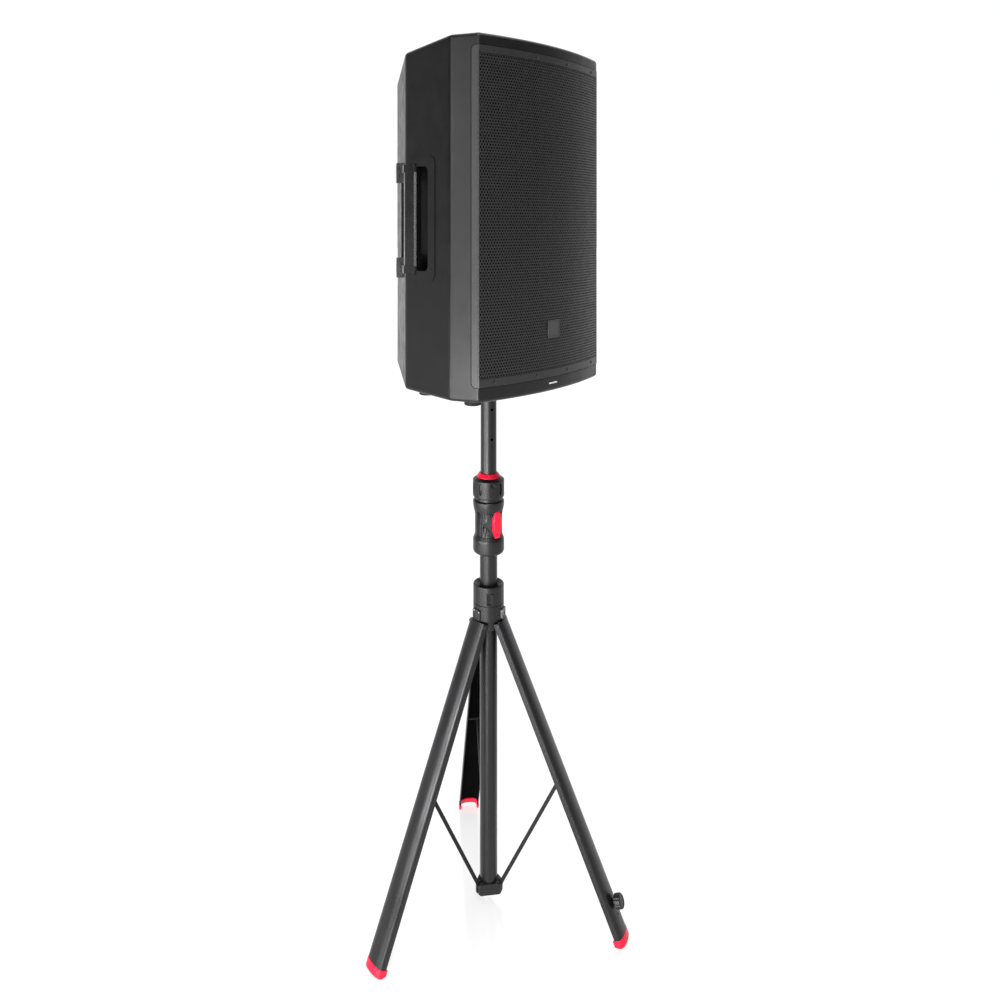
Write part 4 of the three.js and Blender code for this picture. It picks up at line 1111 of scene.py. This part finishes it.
def build_trigger():
    """The red trigger, its face following the grip's roundness."""
    place = facing(*TRIGGER_AT)
    layers = [(1.0, 26.5), (1.0, 30.8), (0.95, 31.9), (0.86, 32.4), (0.4, 32.8)]
    points = []
    for scale, out in layers:
        for x, z in trigger_outline(0.0, scale):
            bend = math.sqrt(34.5 ** 2 - x ** 2) - 34.5
            points.append(place @ Vector((x, z, out + bend * 0.6)))
    count = len(points) // len(layers)
    faces = bands(len(layers) - 1, count)
    faces += [list(range(count))[::-1], [(len(layers) - 1) * count + i for i in range(count)]]
    piece("trigger_key", points, faces, "red", "trigger", ["grip_trigger"], smooth=45.0)


def build_clutch():
    low, high, radius, neck = 880.0, 922.0, 34.3, 873.0
    profile = [(21.2, neck), (29.4, neck), (29.8, neck + 0.5), (29.8, low), (radius - 2, low),
               (radius - 0.5, low + 1),
               (radius, low + 3), (radius, high - 5), (radius - 0.8, high - 4),
               (radius - 6.4, high), (21.2, high),
               (21.2, neck)]
    clutch = turned("clutch_grip", profile, "plastic", "clutch", ["clutch_collar"], steps=120, bevel=0.4)
    middle = (low + high) / 2
    scoops = [prism_mesh(lens_outline(4.2, 13.6, 10), radius - 2.4, radius + 5, facing(40 * i + 30.8, middle))
              for i in range(9)]
    carve(clutch, scoops)
    finish_piece(clutch, "plastic", "clutch", ["clutch_collar"], 0.5, 28.0, 2)
    z = high + 0.3
    turned("clutch_red_ring", [(17.8, z), (25.6, z), (26, z + 0.5), (26, z + 1.6), (25, z + 3),
                               (21.2, z + 8.4),
                               (20, z + 9.2), (17.8, z + 9.2), (17.8, z)], "dark_red", "clutch",
           ["clutch_ring"], bevel=0.3)
    place = facing(-111.7, 911) @ Matrix.Translation((0, 0, 33.2))
    screws("clutch_screw", [place], 3.9, 1.8, "screw", "clutch")


# ---------------------------------------------------------------- stand: collar, hub, legs and braces
def build_collar():
    """The sliding collar: a funnel on top, a knuckle below, and a steel bracket over each hinge."""
    bore, radius, seam, high = 19.6, 33.5, 650.0, 690.5
    funnel = turned("collar_funnel", [
        (bore, seam + 0.3), (radius - 0.5, seam + 0.3), (radius, seam + 1.2), (radius, high - 2.4),
        (radius - 0.7, high - 0.8), (radius - 1.8, high), (31, high - 0.4), (23, high - 6), (bore, high - 9),
        (bore, seam + 0.3),
    ], "plastic", "collar", ["collar_top"], steps=120, bevel=0.3)
    carve(funnel, [prism_mesh(box_outline(-7.6, 7.6, -12.1, 12.1, 1.0), 25.3, 50, facing(*LATCH_AT))])
    finish_piece(funnel, "plastic", "collar", ["collar_top"], 0.35, 28.0, 2)
    knuckle = turned("collar_knuckle", [
        (bore, 597), (28.1, 597), (29.6, 600), (29.6, 614), (radius - 0.4, 617.2), (radius, 618.4),
        (radius, seam - 0.9), (radius - 0.5, seam), (bore, seam), (bore, 597),
    ], "plastic", "collar", ["collar_bottom"], steps=120, bevel=0.3)
    lobes = [prism_mesh(box_outline(20.5, 34.2, -13.5, 13.5, 2.0), 597, 614.5, spin(a, "Z"))
             for a in LEG_AZIMUTHS]
    carve(knuckle, lobes, "UNION")
    bores = [prism_mesh(ring_outline(LEG_BORE, 24), -40, 40,
                        leg_place(a) @ spin(90, "Y")) for a in LEG_AZIMUTHS]
    carve(knuckle, bores + [prism_mesh(ring_outline(bore, 96), 590, 655)])
    finish_piece(knuckle, "plastic", "collar", ["collar_bottom"], 0.4, 28.0, 2)
    build_latch()
    for index, azimuth in enumerate(LEG_AZIMUTHS):
        build_bracket(index, azimuth)
    places = [facing(a + side * 27, 628) @ Matrix.Translation((0, 0, 33.3))
              for a in LEG_AZIMUTHS for side in (-1, 1)]
    screws("collar_screws", places, 2.3, 1.0, "screw", "collar")


def build_latch():
    """A press key: a raised rib at its right, a dark finger slot at its left."""
    place = facing(*LATCH_AT)
    latch = piece("latch_key", *prism_mesh(box_outline(-7, 7, -11.5, 11.5, 1.2), 28.5, 34.8, place),
                  "plastic", "latch")
    carve(latch, [prism_mesh(box_outline(-5.6, 0.6, -14, 14), 30.6, 50, place)])
    finish_piece(latch, "plastic", "latch", ["collar_latch"], 0.7, 30.0, 3)


def build_bracket(index, azimuth):
    """A bent steel plate hugging the collar over the hinge, with a rivet at each upper corner."""
    place = facing(azimuth, 0)
    outline = box_outline(-11.5, 11.5, 618.6, 641, 4.0)
    plate = piece(f"hinge_bracket_{index + 1}", *prism_mesh(outline, 30.8, 35.4, place), "bracket", "collar")
    core = prism_mesh(ring_outline(33.6, 120), 560, 700)
    skin = [prism_mesh(box_outline(-7.5, 7.5, 622, 632, 3.0), 34.5, 50, place)]
    carve(plate, [core] + skin)
    finish_piece(plate, "bracket", "collar", [], 0.35, 30.0, 2)
    rivets = [place @ Matrix.Translation((x, 636.5, 34.6)) for x in (-8.5, 8.5)]
    screws(f"bracket_rivets_{index + 1}", rivets, 1.9, 1.2, "steel", "collar")


def build_hub():
    """A three-sided block, its rounded corners slotted for the braces, with a plug under its middle."""
    low, high, corner = 22.0, 45.5, 31.0
    hub = turned("hub", [
        (0, 9), (5.4, 9), (6, 9.6), (6, low), (corner - 1.6, low), (corner, low + 1.6), (corner, high - 6),
        (corner - 1.8, high - 2.2), (corner - 6, high), (19.3, high), (19.3, 24), (0, 24),
    ], "plastic", "stand", ["base_hub"], steps=96, bevel=0.3)
    flats, slots = [], []
    for azimuth in LEG_AZIMUTHS:
        around = spin(azimuth, "Z")
        across = around @ spin(90, "X")
        flats.append(prism_mesh(box_outline(-60, -21.5, -60, 60), low - 5, high + 5, around))
        slots.append(prism_mesh(box_outline(21.6, 40, -2.1, 2.1), low - 5, high + 5, around))
        slots.append(prism_mesh(ring_outline(2.6, 24, HUB_PIVOT), -6.4, 6.4, across))
    carve(hub, flats + slots)
    finish_piece(hub, "plastic", "stand", ["base_hub"], 0.9, 28.0, 3)


def leg_section(inset, flange=-8.0, steps=16):
    """The crowned outer side of a leg's open section, from flange tip to flange tip."""
    wide, out = LEG_HALF - inset, LEG_OUT - inset
    line = [(wide, flange)]
    for i in range(2 * steps + 1):
        angle = math.pi * i / (2 * steps)
        side = math.copysign(abs(math.cos(angle)) ** 0.88, math.cos(angle))
        line.append((wide * side, out * abs(math.sin(angle)) ** 0.88))
    return line + [(-wide, flange)]


def build_leg(index, azimuth):
    place = leg_place(azimuth)
    body = "leg_" + "abc"[index]
    points, faces = channel_mesh(leg_section(0.0), leg_section(1.8), -6.0, LEG_LONG, place)
    leg = piece(f"leg_channel_{index + 1}", points, faces, "paint", body)
    bore = prism_mesh(ring_outline(LEG_BORE, 24), -40, 40, place @ spin(90, "Y"))
    carve(leg, [bore])
    finish_piece(leg, "paint", body, [f"leg_{index + 1}"], 0.25, 28.0, 2)
    # A thin near-black sheet just inside the channel's inner wall: painted shade over the channel's inside.
    lining = channel_mesh(leg_section(1.9, -7.8), leg_section(2.1, -7.8), -5.8, LEG_LONG - 0.2, place)
    piece(f"leg_shade_lining_{index + 1}", *lining, "hollow", body)
    pin = place @ spin(90, "Y")
    near, far = LEG_HALF + 0.2, LEG_HALF + 1.6
    side = [(3.0, near), (4.6, near), (4.6, far - 0.5), (4.2, far), (0, far)]
    rivet = [(r, -x) for r, x in reversed(side)] + side
    turned(f"leg_rivet_{index + 1}", rivet, "screw", "collar", [f"leg_pin_{index + 1}"], pin, 32, 0.2)


def channel_mesh(outer, inner, low, high, place):
    """A constant open section, its end caps built as strips between the outer and inner lines."""
    ring = outer + inner[::-1]
    count = len(ring)
    points = [place @ Vector((x, y, z)) for z in (low, high) for x, y in ring]
    faces = [[i, (i + 1) % count, (i + 1) % count + count, i + count] for i in range(count)]
    faces += [list(range(count))[::-1], [i + count for i in range(count)]]
    return points, faces


def build_foot_cap(index, azimuth):
    """A red cap following the leg's open section, the ends of its two flanges flat on the floor."""
    body = ("leg_a", "leg_b", "leveller")[index]
    mesh = channel_mesh(leg_section(-0.8, -12.0), leg_section(4.5, -12.0), LEG_LONG + 0.3, 662.0,
                        leg_place(azimuth))
    cap = piece(f"foot_red_{index + 1}", *mesh, "red", body)
    carve(cap, [prism_mesh(box_outline(-600, 600, -600, 600), -100, 0)])
    finish_piece(cap, "red", body, [f"foot_cap_{index + 1}"], 0.9, 28.0, 3)


def build_leveller(azimuth):
    place = leg_place(azimuth)
    points, faces = channel_mesh(leg_section(2.3), leg_section(4.1), LEG_LONG - 190, LEG_LONG, place)
    piece("levelling_inner", points, faces, "paint", "leveller", ["levelling_channel"], 0.2)
    upright = spin(-90, "X")
    axis = place @ Matrix.Translation((0, 0, 588)) @ upright
    profile = [(0, LEG_OUT + 0.6), (6, LEG_OUT + 0.6), (6, 15), (12.6, 15.6), (13.8, 16.8), (14, 18),
               (14, 26), (13.5, 27.8),
               (12, 29.2), (10.8, 29.5), (10, 28.6), (0, 28.4)]
    knob = turned("levelling_wheel", profile, "plastic", "leveller_knob", ["levelling_knob"], axis, 96, 0.3)
    cuts = [prism_mesh(ring_outline(3.6, 20), 14, 40,
                       axis @ Matrix.Rotation(TAU * i / 8, 4, "Z") @ Matrix.Translation((16.4, 0, 0)))
            for i in range(8)]
    carve(knob, cuts)
    finish_piece(knob, "plastic", "leveller_knob", ["levelling_knob"], 0.5, 28.0, 2)
    dot = place @ Matrix.Translation((0, 0, 612)) @ upright
    screws("leg_stop_screw", [dot @ Matrix.Translation((0, 0, LEG_OUT - 0.1))], 2.6, 1.1, "screw", "leg_c")


def build_brace(index, azimuth):
    tilt, s, n = LEG_TILT, BRACE_STATION, -4.0
    top = (HINGE[0] + s * math.sin(tilt) + n * math.cos(tilt),
           HINGE[1] - s * math.cos(tilt) + n * math.sin(tilt))
    base = HUB_PIVOT
    reach = math.hypot(top[0] - base[0], top[1] - base[1])
    lean = math.atan2(top[0] - base[0], top[1] - base[1])
    place = spin(azimuth, "Z") @ spin(90, "X")
    place = place @ Matrix.Translation((base[0], base[1], 0)) @ Matrix.Rotation(-lean, 4, "Z")
    outline = []
    for start, end, side, heights in ((0.0, reach, -1, (reach - BRACE_NECK, BRACE_NECK)),
                                      (math.pi, 0.0, 1, (BRACE_NECK, reach - BRACE_NECK))):
        for i in range(17):
            a = start + math.pi * i / 16
            outline.append((BRACE_END * math.cos(a), end + BRACE_END * math.sin(a)))
        outline += [(side * BRACE_WAIST, height) for height in heights]
    body = "brace_" + "abc"[index]
    bar = piece(f"brace_bar_{index + 1}", *prism_mesh(outline, -1.6, 1.6, place), "brace", body)
    pins = [prism_mesh(ring_outline(2.2, 24, (0, y)), -half, half, place)
            for y, half in ((0, 5.8), (reach, 20))]
    carve(bar, pins, "UNION")
    finish_piece(bar, "brace", body, [f"brace_{index + 1}"], 0.4, 28.0, 2)


def build_stand():
    build_tubes()
    build_grip()
    build_clutch()
    build_collar()
    build_hub()
    for index, azimuth in enumerate(LEG_AZIMUTHS):
        build_leg(index, azimuth)
        build_foot_cap(index, azimuth)
        build_brace(index, azimuth)
    build_leveller(LEG_AZIMUTHS[2])


def build_speaker():
    build_rear_shell()
    build_bezel()
    build_grille()
    build_front_trim()
    build_handle("handle_right_bar", "handle_right", False)
    build_handle("handle_left_bar", "handle_left", True)
    for name, node, x, back, height in (
        ("rubber_foot_1", "foot_front_left", -160, 50, 13.7),
        ("rubber_foot_2", "foot_front_right", 160, 50, 13.7),
        ("rubber_foot_3", "foot_rear_left", -150, 188, 15.5),
        ("rubber_foot_4", "foot_rear_right", 150, 188, 15.5),
    ):
        build_rubber_foot(name, node, x, back, height)
    build_pole_socket()
    build_rear_controls()
    dress_drivers()


set_camera()
light_studio()
lay_floor()
build_stand()
build_speaker()
